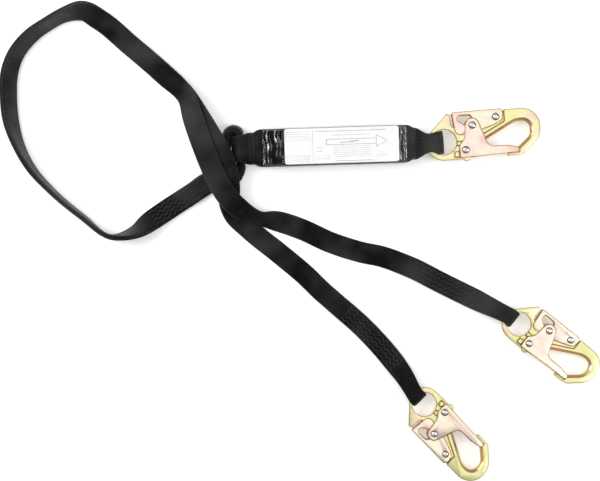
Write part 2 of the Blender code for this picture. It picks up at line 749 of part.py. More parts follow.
def harness_loop_sections():
    plan = [tuple(in_pack(x, 0).xy) for x in (*LOOP_TAILS, HARNESS_LOOP_SEWN_TO)]
    heights = (PACK_LOOP_HEIGHT + PACK_LOOP_PITCH / 2, PACK_LOOP_HEIGHT - PACK_LOOP_PITCH / 2)
    return eye_sections(
        "harness", plan, heights, HARNESS_LOOP_RISE, HARNESS_LOOP_WIDTHS,
        HARNESS_LOOP_RADIUS, HARNESS_LOOP_REACH,
    )


# ---- Stitching ----

def zigzag(sections, start, end, stitches):
    """One thread in rows of zigzag on top of a strap, between two points of its route."""
    rows, spacing, pitch, amplitude = stitches
    centres = np.array([section.centre for section in sections])
    walked = np.concatenate([[0], np.cumsum(np.linalg.norm(np.diff(centres, axis=0), axis=1))])
    acrosses = np.array([section.across for section in sections])
    first, last = [
        walked[np.argmin(np.linalg.norm(centres[:, :2] - point, axis=1))] for point in (start, end)
    ]
    steps = max(2, round((last - first) / pitch))
    points = []
    for row in range(rows):
        order = range(steps + 1) if row % 2 == 0 else range(steps, -1, -1)
        for step in order:
            at = first + (last - first) * step / steps
            here = np.array([np.interp(at, walked, centres[:, axis]) for axis in range(3)])
            near = np.array([np.interp(at + 0.5, walked, centres[:, axis]) for axis in range(3)])
            across = Vector([np.interp(at, walked, acrosses[:, axis]) for axis in range(3)])
            normal = Vector(near - here).cross(across).normalized()
            aside = (row - (rows - 1) / 2) * spacing + amplitude * (0.5 - step % 2)
            height = LEG_THICKNESS / 2 + GAP + THREAD_RADIUS
            points.append(Vector(here) + across.normalized() * aside + normal * height)
    return wire(points, THREAD_RADIUS, 0)


# ---- Assembly ----

HOOK_PIECES = {
    "hook_body": (hook_body, None, "zinc_plate"),
    "hook_gate": (hook_gate, GATE_PIVOT, "zinc_plate"),
    "hook_lock_lever": (hook_lock_lever, LEVER_PIVOT, "zinc_plate"),
    "gate_pivot_rivet": (lambda: rivet(GATE_PLATES[1]), None, "rivet_steel"),
    "lever_pivot_rivet": (lambda: rivet(LEVER_PLATES[1]), None, "rivet_steel"),
    "latch_rivet": (lambda: rivet(GATE_PLATES[1]), None, "rivet_steel"),
    "gate_spring": (gate_spring, None, "spring_steel"),
    "lock_spring": (lock_spring, None, "spring_steel"),
}
RIVET_PLACES = {
    "gate_pivot_rivet": GATE_PIVOT, "lever_pivot_rivet": LEVER_PIVOT, "latch_rivet": LATCH_PIN,
}


def name_piece(obj, name, material, collection):
    """Gives a finished piece its name, material and place in the object's collection."""
    obj.name = name
    obj.data.materials.clear()
    obj.data.materials.append(material)
    for polygon in obj.data.polygons:
        polygon.use_smooth = True
    obj.data.set_sharp_from_angle(angle=math.radians(35))
    for held_by in list(obj.users_collection):
        held_by.objects.unlink(obj)
    collection.objects.link(obj)


def add_hooks(collection, materials):
    """Three hooks from one set of meshes, each under an empty on its swing axis."""
    shapes = {}
    for piece, (make, pivot, _) in HOOK_PIECES.items():
        shape = make()
        origin = Vector((*(pivot or RIVET_PLACES.get(piece, (EYE_BAR_X, 0))), 0))
        if piece not in RIVET_PLACES:
            shape.data.transform(Matrix.Translation(-origin * MM))
        shapes[piece] = (shape.data, origin)
        bpy.data.objects.remove(shape)
    for hook, place in HOOKS.items():
        axis = bpy.data.objects.new(hook + "_hook_axis", None)
        collection.objects.link(axis)
        axis.location = bar_point(hook) * MM
        flip = math.pi if place["flipped"] else 0
        axis.rotation_euler = (flip, 0, math.radians(place["heading"]))
        axis.scale = [place["scale"]] * 3
        for piece, (mesh, origin) in shapes.items():
            obj = bpy.data.objects.new(piece, mesh)
            collection.objects.link(obj)
            obj.parent = axis
            obj.location = (origin - Vector((EYE_BAR_X, 0, 0))) * MM
            name_piece(obj, f"{hook}_{piece}", materials[HOOK_PIECES[piece][2]], collection)


def add_webbing(collection, materials):
    leg_a = leg_sections(BIGHT_OVER, LEG_A_ROUTE, "leg_a", 1)
    leg_b = leg_sections(BIGHT_UNDER, LEG_B_ROUTE, "leg_b", -1)
    legs = webbing(leg_b[:0:-1] + leg_a)
    name_piece(legs, "legs_webbing", materials["webbing"], collection)
    yoke = zigzag(leg_a, *YOKE_SEAM, YOKE_STITCHES)
    name_piece(yoke, "yoke_stitching", materials["thread"], collection)
    for leg in LEG_EYES:
        upper, wrap, tail = leg_eye_sections(leg)
        eye = webbing(upper + wrap + tail)
        name_piece(eye, leg + "_eye_webbing", materials["webbing"], collection)
        bar = bar_point(leg)
        sewn_from = upper[5].centre.xy
        sewn_to = bar.xy.lerp(upper[3].centre.xy, 0.24)
        thread = zigzag(upper, sewn_from, sewn_to, EYE_STITCHES)
        name_piece(thread, leg + "_eye_stitching", materials["thread"], collection)


def add_pack(collection, materials):
    name_piece(shrink_cover(), "pack_shrink_cover", materials["clear_cover"], collection)
    name_piece(label_card(), "pack_label", materials["label_card"], collection)
    lower = COVER_WALL * 2
    upper = PACK_LOOP_HEIGHT + PACK_LOOP_PITCH + LAYER_GAP
    name_piece(folded_web(lower), "backup_web", materials["webbing"], collection)
    name_piece(folded_web(upper), "tear_web", materials["webbing"], collection)
    name_piece(leg_loop(), "pack_leg_loop", materials["webbing"], collection)
    upper, wrap, tail = harness_loop_sections()
    name_piece(webbing(upper + wrap + tail), "pack_harness_loop", materials["webbing"], collection)
    start, end = [in_pack(x, 0).xy for x in HARNESS_SEAM]
    thread = zigzag(upper, start, end, HARNESS_STITCHES)
    name_piece(thread, "harness_loop_stitching", materials["thread"], collection)


def main():
    clear_scene()
    collection = make_collection("shock_absorbing_lanyard")
    materials = {name: make_material(name) for name in COLOURS}
    add_pack(collection, materials)
    add_webbing(collection, materials)
    add_hooks(collection, materials)


main()
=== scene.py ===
import json
import math
from dataclasses import dataclass

import bpy
import numpy as np
from mathutils import Matrix, Vector, noise


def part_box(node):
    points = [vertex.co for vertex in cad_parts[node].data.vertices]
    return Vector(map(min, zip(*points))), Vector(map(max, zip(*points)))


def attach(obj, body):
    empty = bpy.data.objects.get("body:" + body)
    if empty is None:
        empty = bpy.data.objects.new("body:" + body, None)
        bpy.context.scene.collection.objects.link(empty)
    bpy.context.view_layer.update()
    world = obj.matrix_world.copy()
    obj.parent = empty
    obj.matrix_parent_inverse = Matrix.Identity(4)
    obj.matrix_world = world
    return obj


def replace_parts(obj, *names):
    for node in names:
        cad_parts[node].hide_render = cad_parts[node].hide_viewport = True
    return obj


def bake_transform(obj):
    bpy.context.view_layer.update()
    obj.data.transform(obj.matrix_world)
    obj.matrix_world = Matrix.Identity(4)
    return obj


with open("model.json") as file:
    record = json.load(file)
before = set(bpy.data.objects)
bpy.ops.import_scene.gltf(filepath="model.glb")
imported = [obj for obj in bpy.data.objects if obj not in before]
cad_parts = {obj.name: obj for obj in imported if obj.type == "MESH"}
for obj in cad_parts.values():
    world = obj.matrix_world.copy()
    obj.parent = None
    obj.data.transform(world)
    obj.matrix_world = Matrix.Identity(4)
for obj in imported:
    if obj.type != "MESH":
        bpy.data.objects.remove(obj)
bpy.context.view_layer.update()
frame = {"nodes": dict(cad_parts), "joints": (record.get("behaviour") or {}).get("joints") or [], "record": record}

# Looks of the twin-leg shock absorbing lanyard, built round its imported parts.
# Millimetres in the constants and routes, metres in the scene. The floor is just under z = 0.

MM = 0.001

# Webbing
LEG_WIDTH = 25.4
LEG_THICKNESS = 2.8
LAYER_GAP = 0.4  # between stacked layers, and under the lowest one
STRAP_PITCH = 2.5  # distance between the cross-sections of a strap
RING_COLUMNS = 13  # points across one face of a strap
BUNCH_WIDTH = 11.6  # size of the webbing where it folds lengthwise to pass the pack's loop
BUNCH_THICKNESS = 6.0
TIGHT_BIGHT = 13.0  # distance from the bight's middle within which the webbing is folded in half
LOOSE_FOLD = 0.2  # share of that fold which opens up outside the pack's loop
RIB_PITCH = 2.2
CUP = 0.05  # share of a full fold that a strap always keeps, so that it isn't dead flat

# Pack
TEAR_WEB_WIDTH = 43.5
TEAR_WEB_THICKNESS = 3.2
TEAR_WEB_PITCH = 3.7
TEAR_WEB_STRANDS = 3
FOLD_END_TAPER = 8.0  # how much narrower the folded webs are drawn in at their ends
LEG_LOOP_OUT = -100.0  # where the leg loop's layers part, along the pack
LEG_LOOP_WIDTH = 38.0
LEG_LOOP_RADIUS = 9.3
LEG_LOOP_DRAW = 7.0  # how much narrower it is drawn in round the legs' webbing
LOOP_LAYER_OFFSET = 1.6  # of each layer of a pack loop from their middle height
FILM_THICKNESS = 0.3
FILM_CORNER = 4.5
FILM_STAND = 0.15  # how far it lies outside the CAD's cover
FILM_TUCK = 0.55  # how much it shrinks in at its two ends
FILM_SEEN = (  # share of the film's own gloss that shows, by how far it turns away
    (0.01, 0.0), (0.06, 0.19), (0.18, 0.24), (0.34, 0.06), (0.62, 0.06), (0.82, 0.16), (1.0, 0.7)
)
LABEL_WAVES = 0.12
LABEL_CORNER = 3.0
INK_PIECE = 5.0  # longest straight piece of ink on the label

# Loops round the hooks' eye bars: radius to the middle, widths before, at and beyond the bar
EYE_LOOP_RADIUS = 8.2
EYE_LOOP_WIDTHS = (LEG_WIDTH, 20.8, 21.0)
EYE_LOOP_RISE = 45.0  # length over which the two layers part before the bar
HARNESS_LOOP_RADIUS = 8.9
HARNESS_LOOP_WIDTHS = (LEG_LOOP_WIDTH, 22.8, 28.0)
HARNESS_LOOP_RISE = 17.0
HARNESS_LOOP_REACH = 6.0  # its fold's distance beyond the bar

# Sewing. Stitches are the number of rows, their spacing, and a stitch's length and width
THREAD_RADIUS = 0.42
LEG_STITCHES = (4, 5.4, 4.2, 3.2)
HARNESS_STITCHES = (6, 4.2, 3.0, 2.6)
YOKE_SEAM = ((-153, -45), (-216, -87))
EYE_SEAM_START = 26.0  # beyond the flex axis
EYE_SEAM_END = 40.0  # short of the hook's bar
HARNESS_LOOP_NARROWS = 84.0  # along the pack
HARNESS_SEAM_START = 97.5
HARNESS_SEAM_END = 109.0

# Hooks. The lever's and the lock spring's places on a leg hook are measured from its eye bar
LEVER_PIVOT_AHEAD = 75.0
LOCK_SPRING_AHEAD = 60.3
LOCK_SPRING_FOOT = 19.4
LOCK_SPRING_LENGTH = 10.7
LOCK_SPRING_RADIUS = 1.8
LOCK_SPRING_WIRE = 0.4
LOCK_SPRING_TURNS = 6
BODY_RIM = 0.4  # rounding of the forged hook's rims
PLATE_RIM = 0.25  # rounding of the stamped plates' rims
SPRING_RIM = 0.05  # rounding of the gate spring's wire
ZINC_RIM = 2.8  # how far the yellow-green tint and the painted dark edge shade reach in from an edge


# ---- Places read from the frame ----

JOINTS = {joint["name"]: joint for joint in frame["joints"]}


def joint_place(name):
    return Vector(JOINTS[name]["pos_m"]) / MM


def joint_side(name):
    """The horizontal direction to the left of the strap or hook that turns on this joint."""
    return -Vector(JOINTS[name]["axis"])


def ahead_of(side):
    """The horizontal direction whose left is side."""
    return Vector((side.y, -side.x, 0))


def box_mm(node):
    low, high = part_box(node)
    return low / MM, high / MM


PACK_SIDE = joint_side("pack_swing")
PACK_ALONG = ahead_of(PACK_SIDE)
BIGHT = joint_place("pack_swing")
BIGHT_X = -BIGHT.xy.length
PACK_TURN = Matrix.Rotation(math.atan2(PACK_ALONG.y, PACK_ALONG.x), 4, "Z")


def in_pack(x, y, z=0.0):
    """A point of the pack's own frame, which is turned a little about the origin."""
    return PACK_ALONG * x + PACK_SIDE * y + Vector((0, 0, z))


def node_span_in_pack(node):
    """Lowest and highest corner of a CAD node in the pack's own frame."""
    turn = np.array(PACK_TURN.inverted().to_3x3())
    points = np.array([v.co for v in frame["nodes"][node].data.vertices]) @ turn.T / MM
    return points.min(axis=0), points.max(axis=0)


# ---- Mesh pieces ----

@dataclass
class Way:
    """A waypoint of a strap in plan. roll stands it on edge, lift raises it off the floor."""
    x: float
    y: float
    roll: float = 0.0
    lift: float = 0.0
    bunch: float = 0.0
    layer: float = 0.0


@dataclass
class Section:
    """One cross-section of a strap. fold is 0 for flat and 1 for folded in half lengthwise."""
    centre: Vector
    across: Vector
    width: float = LEG_WIDTH
    thickness: float = LEG_THICKNESS
    fold: float = CUP


def smoothstep(t):
    t = min(max(t, 0.0), 1.0)
    return t * t * (3 - 2 * t)


def smooth(waypoints):
    """Rows of a smooth curve through rows of numbers whose first two are x and y."""
    rows = np.array(waypoints, float)
    steps = np.linalg.norm(np.diff(rows[:, :2], axis=0), axis=1)
    walked = np.concatenate([[0], np.cumsum(steps)])
    slopes = np.gradient(rows, walked, axis=0)
    made = []
    for i, length in enumerate(steps):
        count = max(1, round(length / STRAP_PITCH))
        for t in np.arange(count) / count:
            made.append(
                (2 * t**3 - 3 * t**2 + 1) * rows[i]
                + (t**3 - 2 * t**2 + t) * length * slopes[i]
                + (3 * t**2 - 2 * t**3) * rows[i + 1]
                + (t**3 - t**2) * length * slopes[i + 1]
            )
    made.append(rows[-1])
    return np.array(made)


def new_piece(name, points, faces, material, body):
    """A mesh object that rides on a body. Points are in millimetres, in the shared frame."""
    mesh = bpy.data.meshes.new(name)
    mesh.from_pydata([tuple(Vector(p) * MM) for p in points], [], faces)
    mesh.validate()
    for polygon in mesh.polygons:
        polygon.use_smooth = True
    mesh.materials.append(material)
    obj = bpy.data.objects.new(name, mesh)
    bpy.context.scene.collection.objects.link(obj)
    if body:
        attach(obj, body)
    return obj


def ring_profile(section):
    """One cross-section's outline as rows of (across, normal, place across the width)."""
    half = section.width / 2
    inset = 0.45 * section.thickness
    u = np.linspace(-half + inset, half - inset, RING_COLUMNS)
    spread = section.width * (1 - 0.8 * min(abs(section.fold), 1))
    turn = math.pi * section.fold * np.clip(u / spread, -0.5, 0.5)
    step = np.diff(u)
    mid_turn = (turn[1:] + turn[:-1]) / 2
    x = np.concatenate([[0], np.cumsum(np.cos(mid_turn) * step)])
    y = np.concatenate([[0], np.cumsum(np.sin(mid_turn) * step)])
    x -= (x.max() + x.min()) / 2
    y -= (y.max() + y.min()) / 2
    thick = section.thickness / 2
    outline = []
    for side, order in ((1, range(RING_COLUMNS)), (-1, range(RING_COLUMNS - 1, -1, -1))):
        for i in order:
            nx, ny = -math.sin(turn[i]), math.cos(turn[i])
            outline.append((x[i] + side * thick * nx, y[i] + side * thick * ny, u[i]))
        last = RING_COLUMNS - 1 if side == 1 else 0
        tx, ty = math.cos(turn[last]) * side, math.sin(turn[last]) * side
        nx, ny = -math.sin(turn[last]) * side, math.cos(turn[last]) * side
        for out, up in ((0.75, 0.62), (1.0, 0.0), (0.75, -0.62)):
            outline.append((
                x[last] + tx * inset * out + nx * thick * up,
                y[last] + ty * inset * out + ny * thick * up,
                side * half,
            ))
    return outline


def strap(name, sections, material, body):
    """A strap lofted through its cross-sections, with its weave coordinates on each point."""
    points, weave = [], []
    walked = 0.0
    for i, section in enumerate(sections):
        if i:
            walked += (section.centre - sections[i - 1].centre).length
        normal = normal_at(sections, i)
        for x, y, u in ring_profile(section):
            points.append(section.centre + section.across * x + normal * y)
            weave.append((u * MM, walked * MM, section.width * MM))
    ring = len(points) // len(sections)
    faces = turned(ring_faces(len(sections), ring))
    faces.append(tuple(range(ring)))
    faces.append(tuple(range(len(points) - 1, len(points) - ring - 1, -1)))
    obj = new_piece(name, points, faces, material, body)
    attribute = obj.data.attributes.new("weave", "FLOAT_VECTOR", "POINT")
    attribute.data.foreach_set("vector", np.array(weave, np.float32).ravel())
    return obj


def tube_rows(points, radius, sides):
    """Points and faces of a round thread through points, closed at both ends."""
    places = np.array(points, float)
    along = np.gradient(places, axis=0)
    along /= np.linalg.norm(along, axis=1)[:, None]
    up = np.array([0.0, 0.0, 1.0])
    made = []
    for place, direction in zip(places, along):
        side = np.cross(direction, up)
        if np.linalg.norm(side) < 0.05:
            side = np.array([1.0, 0.0, 0.0])
        side /= np.linalg.norm(side)
        top = np.cross(side, direction)
        for k in range(sides):
            angle = math.tau * k / sides
            made.append(place + radius * (math.cos(angle) * side + math.sin(angle) * top))
    return made, tube_faces(len(places), sides)


def ring_faces(rows, sides, first=0):
    """Faces between rows rings of points, from the point numbered first on."""
    faces = []
    for a in range(first, first + (rows - 1) * sides, sides):
        for k in range(sides):
            n = (k + 1) % sides
            faces.append((a + k, a + n, a + sides + n, a + sides + k))
    return faces


def tube_faces(rows, sides):
    """Faces of a tube through rows rings of points, closed at both ends."""
    ends = [tuple(range(sides - 1, -1, -1)), tuple(range((rows - 1) * sides, rows * sides))]
    return ring_faces(rows, sides) + ends


def turned(faces):
    """The same faces looking the other way, each from the same first corner."""
    return [face[:1] + face[:0:-1] for face in faces]


# ---- Routes of the straps, in plan ----

def pack_way(x, y, roll=90.0, lift=5.0, bunch=1.0):
    """A waypoint given in the pack's own frame, folded lengthwise unless told otherwise."""
    place = in_pack(x, y)
    return Way(place.x, place.y, roll, lift, bunch)


SHARED_ROUTE = [
    Way(-148.8, -42.0), Way(-170.4, -56.4), Way(-194.4, -72.0), Way(-217.2, -87.6, 15),
    Way(-240.0, -103.0, 60), Way(-265.2, -108.0, 88), Way(-300.0, -84.0, 88),
    Way(-338.4, -51.6, 86), Way(-360.0, -27.6, 82), Way(-376.0, 1.2, 75), Way(-385.0, 30.0, 62),
    Way(-388.0, 60.0, 58), Way(-387.0, 86.4, 58), Way(-380.5, 106.8, 62), Way(-362.0, 130.8, 66),
    Way(-340.8, 146.0, 70), Way(-317.5, 158.0, 62), Way(-299.0, 161.5, 35),
    Way(-280.8, 152.0, 5), Way(-243.6, 121.2, 0, 0.5), Way(-203.4, 86.4, 8, 4),
    Way(-174.5, 57.6, 28, 11),
]
LEG_ROUTES = {
    "leg_a": [
        Way(-167.5, 33.6, 12, 24), Way(-159.6, 10.8, 0, 26.6), Way(-147.6, -20.4, 0, 26.6),
        Way(-137.4, -43.2, 0, 26), Way(-125.5, -61.5, 0, 22.5), Way(-115.2, -72.0, 10, 17),
        Way(-101.5, -81.0, 35, 8), Way(-88.0, -86.0, 50, 1.5), Way(-67.2, -89.4, 15),
        Way(-39.6, -98.4), Way(-5.4, -114.0), Way(32.4, -126.2),
    ],
    "leg_b": [
        Way(-160.0, 34.8, 10, 20.5), Way(-146.4, 12.0, 0, 22.6), Way(-133.2, -12.0, 0, 23.2),
        Way(-126.5, -30.0, 0, 22), Way(-124.5, -51.6, 0, 15), Way(-125.0, -66.0, 0, 9),
        Way(-120.0, -80.0, 0, 4), Way(-103.2, -97.2), Way(-64.8, -128.4), Way(-34.8, -153.5),
    ],
}
BIGHT_MIDDLE = pack_way(BIGHT_X, 0)
BIGHT_ROUTES = {
    "leg_a": [
        pack_way(BIGHT_X, 13.5), pack_way(-114.6, 20.6), pack_way(-119.9, 23.0),
        pack_way(-125.2, 20.2), pack_way(-126.6, 11), pack_way(-128.0, -6),
        pack_way(-131.0, -20, 70, 5.2, 0.8), pack_way(-138.0, -31.0, 30, 4.0, 0.35),
    ],
    "leg_b": [
        pack_way(BIGHT_X, -14), pack_way(-113.0, -21.5), pack_way(-118.0, -28.0, 75, 3.5, 0.8),
        pack_way(-130.0, -35.0, 20, 0.3, 0.2),
    ],
}
STACK_LAYER = {"leg_a": 1, "leg_b": -1}
EYE_ROUTES = {
    "leg_a": [(96.0, -146.2), (124.8, -161.0), (182.4, -189.4)],
    "leg_b": [(38.4, -220.0), (70.8, -256.5), (84.0, -274.5)],
}


def way_section(row, heading, place):
    """The cross-section at one row of a route, and how far its layer is off the stack's middle."""
    x, y, roll, lift, bunch, layer = row
    left = Vector((-heading[1], heading[0], 0)).normalized()
    angle = math.radians(roll)
    width = LEG_WIDTH + (BUNCH_WIDTH - LEG_WIDTH) * bunch
    thickness = LEG_THICKNESS + (BUNCH_THICKNESS - LEG_THICKNESS) * bunch
    aside = (LEG_THICKNESS + LAYER_GAP) / 2 * layer
    stack = thickness / 2 + abs(aside)
    rest = width / 2 * math.sin(angle) + stack * math.cos(angle) + LAYER_GAP
    seen_angle = angle * (1 - bunch)
    across = left * math.cos(seen_angle) + Vector((0, 0, 1)) * math.sin(seen_angle)
    sway = noise.noise(Vector((place / 60, layer * 7, 3.1)))
    off_bight = (Vector((x, y)) - BIGHT.xy).length
    loose = smoothstep((off_bight - TIGHT_BIGHT) / 8) * LOOSE_FOLD
    fold = -bunch * (1 - loose) if bunch > 0.02 else CUP * 0.8 * sway
    return Section(Vector((x, y, rest + lift)), across, LEG_WIDTH, LEG_THICKNESS, fold), aside


def normal_at(sections, i):
    """The direction a strap's upper face looks in at one of its cross-sections."""
    before = sections[max(i - 1, 0)].centre
    after = sections[min(i + 1, len(sections) - 1)].centre
    return (after - before).cross(sections[i].across).normalized()


def leg_sections(leg):
    """Cross-sections of one leg from the middle of the bight to just before its flex axis."""
    along = ahead_of(joint_side(leg + "_flex"))
    axis = joint_place(leg + "_flex")
    last = axis - along * (LEG_THICKNESS / 2 + LAYER_GAP)
    before = last - along * 10
    layer = STACK_LAYER[leg]
    shared = [Way(w.x, w.y, w.roll, w.lift, 0, layer) for w in SHARED_ROUTE]
    ends = [Way(before.x, before.y), Way(last.x, last.y)]
    ways = [BIGHT_MIDDLE, *BIGHT_ROUTES[leg], *shared, *LEG_ROUTES[leg], *ends]
    rows = smooth([(w.x, w.y, w.roll, w.lift, w.bunch, w.layer) for w in ways])
    headings = np.gradient(rows[:, :2], axis=0)
    walked = np.concatenate([[0], np.cumsum(np.linalg.norm(np.diff(rows[:, :2], axis=0), axis=1))])
    made = [way_section(row, heading, at) for row, heading, at in zip(rows, headings, walked)]
    sections = [section for section, _ in made]
    normals = [normal_at(sections, i) for i in range(len(sections))]
    for (section, aside), normal in zip(made, normals):
        section.centre += normal * aside
    return sections


def eye_sections(hook, plan, heights, rise, widths, radius, reach=0.0):
    """A strap out to the hook's eye, round its bar and back under itself.

    heights are those of the upper and lower layer before they part, rise is the length over which
    they part, and widths are before the bar, at the bar and at the fold.
    """
    bar = joint_place(hook + "_hook_swing")
    side = joint_side(hook + "_hook_swing")
    along = ahead_of(side)
    rows = smooth([*plan, (bar.x, bar.y)])
    headings = np.gradient(rows, axis=0)
    left = np.linalg.norm(np.diff(rows, axis=0), axis=1)
    to_go = np.concatenate([np.cumsum(left[::-1])[::-1], [0]])
    upper, lower = [], []
    for (x, y), heading, distance in zip(rows, headings, to_go):
        square = Vector((-heading[1], heading[0], 0)).normalized()
        across = square.lerp(side, smoothstep(1 - distance / 30)).normalized()
        part = smoothstep(1 - distance / rise)
        width = widths[0] + (widths[1] - widths[0]) * smoothstep(1.1 - distance / rise)
        top = heights[0] + (bar.z + radius - heights[0]) * part
        bottom = heights[1] + (bar.z - radius - heights[1]) * part
        upper.append(Section(Vector((x, y, top)), across, width, fold=-CUP * part))
        lower.append(Section(Vector((x, y, bottom)), across, width, fold=-CUP * part))
    wrap = []
    for angle in np.linspace(math.pi / 2, -math.pi / 2, 21):
        share = math.cos(angle)
        if reach == 0 and share < 0.01:
            continue
        width = widths[1] + (widths[2] - widths[1]) * (0.4 + 0.6 * share)
        offset = along * (reach + radius * share) + Vector((0, 0, radius * math.sin(angle)))
        wrap.append(Section(bar + offset, side, width, fold=-CUP))
    return upper, wrap, lower[::-1]


def leg_eye_sections(leg):
    """The leg's last stretch: a single layer from the flex axis, then two layers sewn together."""
    start = joint_place(leg + "_flex")
    plan = [tuple(start.xy), *EYE_ROUTES[leg]]
    double = LEG_THICKNESS + LAYER_GAP
    heights = (start.z + double, start.z)
    upper, wrap, lower = eye_sections(
        leg, plan, heights, EYE_LOOP_RISE, EYE_LOOP_WIDTHS, EYE_LOOP_RADIUS
    )
    for section in upper:
        climb = (section.centre.xy - start.xy).length / 18
        section.centre.z -= double * (1 - smoothstep(climb))
    tail = [s for s in lower if (s.centre.xy - start.xy).length > 22]
    return upper, wrap, tail


# ---- Stitching ----

def stitch_rows(sections, start, end, stitches):
    """Rows of zigzag thread, each stitch diving into the webbing at both of its ends."""
    rows, spacing, pitch, amplitude = stitches
    centres = np.array([section.centre for section in sections])
    walked = np.concatenate([[0], np.cumsum(np.linalg.norm(np.diff(centres, axis=0), axis=1))])
    acrosses = np.array([section.across for section in sections])
    first, last = [
        walked[np.argmin(np.linalg.norm(centres[:, :2] - np.array(point), axis=1))]
        for point in (start, end)
    ]
    count = max(2, round(abs(last - first) / pitch))
    per_stitch = 6
    made, faces = [], []
    for row in range(rows):
        points = []
        for step in range(count * per_stitch + 1):
            share = step / per_stitch
            at = first + (last - first) * share / count
            swing = abs((share % 2) - 1) * 2 - 1
            dive = abs(math.sin(math.pi * share))
            here = Vector([np.interp(at, walked, centres[:, axis]) for axis in range(3)])
            near = Vector([np.interp(at + 0.5, walked, centres[:, axis]) for axis in range(3)])
            across = Vector([np.interp(at, walked, acrosses[:, axis]) for axis in range(3)])
            across.normalize()
            normal = (near - here).cross(across).normalized()
            aside = (row - (rows - 1) / 2) * spacing + amplitude * 0.5 * swing
            height = LEG_THICKNESS / 2 + THREAD_RADIUS * (1.1 * dive ** 0.6 - 0.75)
            points.append(here + across * aside + normal * height)
        add_part(made, faces, *tube_rows(points, THREAD_RADIUS, 6))
    return made, faces


def add_part(points, faces, more_points, more_faces):
    """Adds one closed part to the lists of a piece that has several."""
    offset = len(points)
    points.extend(more_points)
    faces.extend(tuple(v + offset for v in face) for face in more_faces)


def add_stitching(name, material, body, node, *patches):
    """One piece of sewing made of several patches of zigzag rows."""
    points, faces = [], []
    for patch in patches:
        add_part(points, faces, *patch)
    obj = new_piece(name, points, faces, material, body)
    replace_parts(obj, node)


# ---- Materials ----

class Graph:
    """Short names for building a node tree."""

    def __init__(self, name):
        self.material = bpy.data.materials.new(name)
        self.material.use_nodes = True
        self.nodes = self.material.node_tree.nodes
        self.links = self.material.node_tree.links
        self.shader = self.nodes["Principled BSDF"]

    def plug(self, socket, value):
        if isinstance(value, bpy.types.NodeSocket):
            self.links.new(value, socket)
        else:
            socket.default_value = value

    def math(self, operation, a, b=0.0):
        node = self.nodes.new("ShaderNodeMath")
        node.operation = operation
        for socket, value in zip(node.inputs, (a, b)):
            self.plug(socket, value)
        return node.outputs[0]

    def spread(self, value, low, high, to_low, to_high):
        node = self.nodes.new("ShaderNodeMapRange")
        for socket, number in zip(node.inputs, (value, low, high, to_low, to_high)):
            self.plug(socket, number)
        return node.outputs[0]

    def noise(self, vector, scale, detail=3.0, roughness=0.55):
        node = self.nodes.new("ShaderNodeTexNoise")
        self.plug(node.inputs["Vector"], vector)
        node.inputs["Scale"].default_value = scale
        node.inputs["Detail"].default_value = detail
        node.inputs["Roughness"].default_value = roughness
        return node.outputs[0]

    def attribute(self, name):
        node = self.nodes.new("ShaderNodeAttribute")
        node.attribute_name = name
        return node.outputs["Vector"]

    def parts(self, vector):
        node = self.nodes.new("ShaderNodeSeparateXYZ")
        self.plug(node.inputs[0], vector)
        return node.outputs

    def place(self):
        return self.nodes.new("ShaderNodeTexCoord").outputs["Object"]

    def length(self, vector):
        node = self.nodes.new("ShaderNodeVectorMath")
        node.operation = "LENGTH"
        self.plug(node.inputs[0], vector)
        return node.outputs["Value"]

    def stretched(self, vector, x, y, z):
        node = self.nodes.new("ShaderNodeVectorMath")
        node.operation = "MULTIPLY"
        self.plug(node.inputs[0], vector)
        node.inputs[1].default_value = (x, y, z)
        return node.outputs[0]

    def ramp(self, value, stops):
        node = self.nodes.new("ShaderNodeValToRGB")
        self.plug(node.inputs[0], value)
        elements = node.color_ramp.elements
        while len(elements) < len(stops):
            elements.new(0.5)
        for element, (position, colour) in zip(elements, stops):
            element.position = position
            element.color = (*colour, 1)
        return node.outputs[0]

    def blend(self, share, a, b):
        node = self.nodes.new("ShaderNodeMix")
        node.data_type = "RGBA"
        self.plug(node.inputs["Factor"], share)
        self.plug(node.inputs[6], a if isinstance(a, bpy.types.NodeSocket) else (*a, 1))
        self.plug(node.inputs[7], b if isinstance(b, bpy.types.NodeSocket) else (*b, 1))
        return node.outputs[2]

    def rim(self, radius):
        """0 in the middle of a face, rising towards its edges within this distance."""
        rounded = self.nodes.new("ShaderNodeBevel")
        rounded.samples = 8
        rounded.inputs["Radius"].default_value = radius
        plain = self.nodes.new("ShaderNodeNewGeometry")
        likeness = self.nodes.new("ShaderNodeVectorMath")
        likeness.operation = "DOT_PRODUCT"
        self.plug(likeness.inputs[0], rounded.outputs[0])
        self.plug(likeness.inputs[1], plain.outputs["Normal"])
        return self.math("SUBTRACT", 1.0, likeness.outputs["Value"])

    def bump(self, height, distance, strength=1.0, normal=None):
        node = self.nodes.new("ShaderNodeBump")
        node.inputs["Strength"].default_value = strength
        node.inputs["Distance"].default_value = distance
        self.plug(node.inputs["Height"], height)
        if normal is not None:
            self.plug(node.inputs["Normal"], normal)
        return node.outputs[0]

    def finish(self, **inputs):
        for name, value in inputs.items():
            socket = name.replace("_", " ").title().replace("Ior", "IOR")
            self.plug(self.shader.inputs[socket], value)
        return self.material


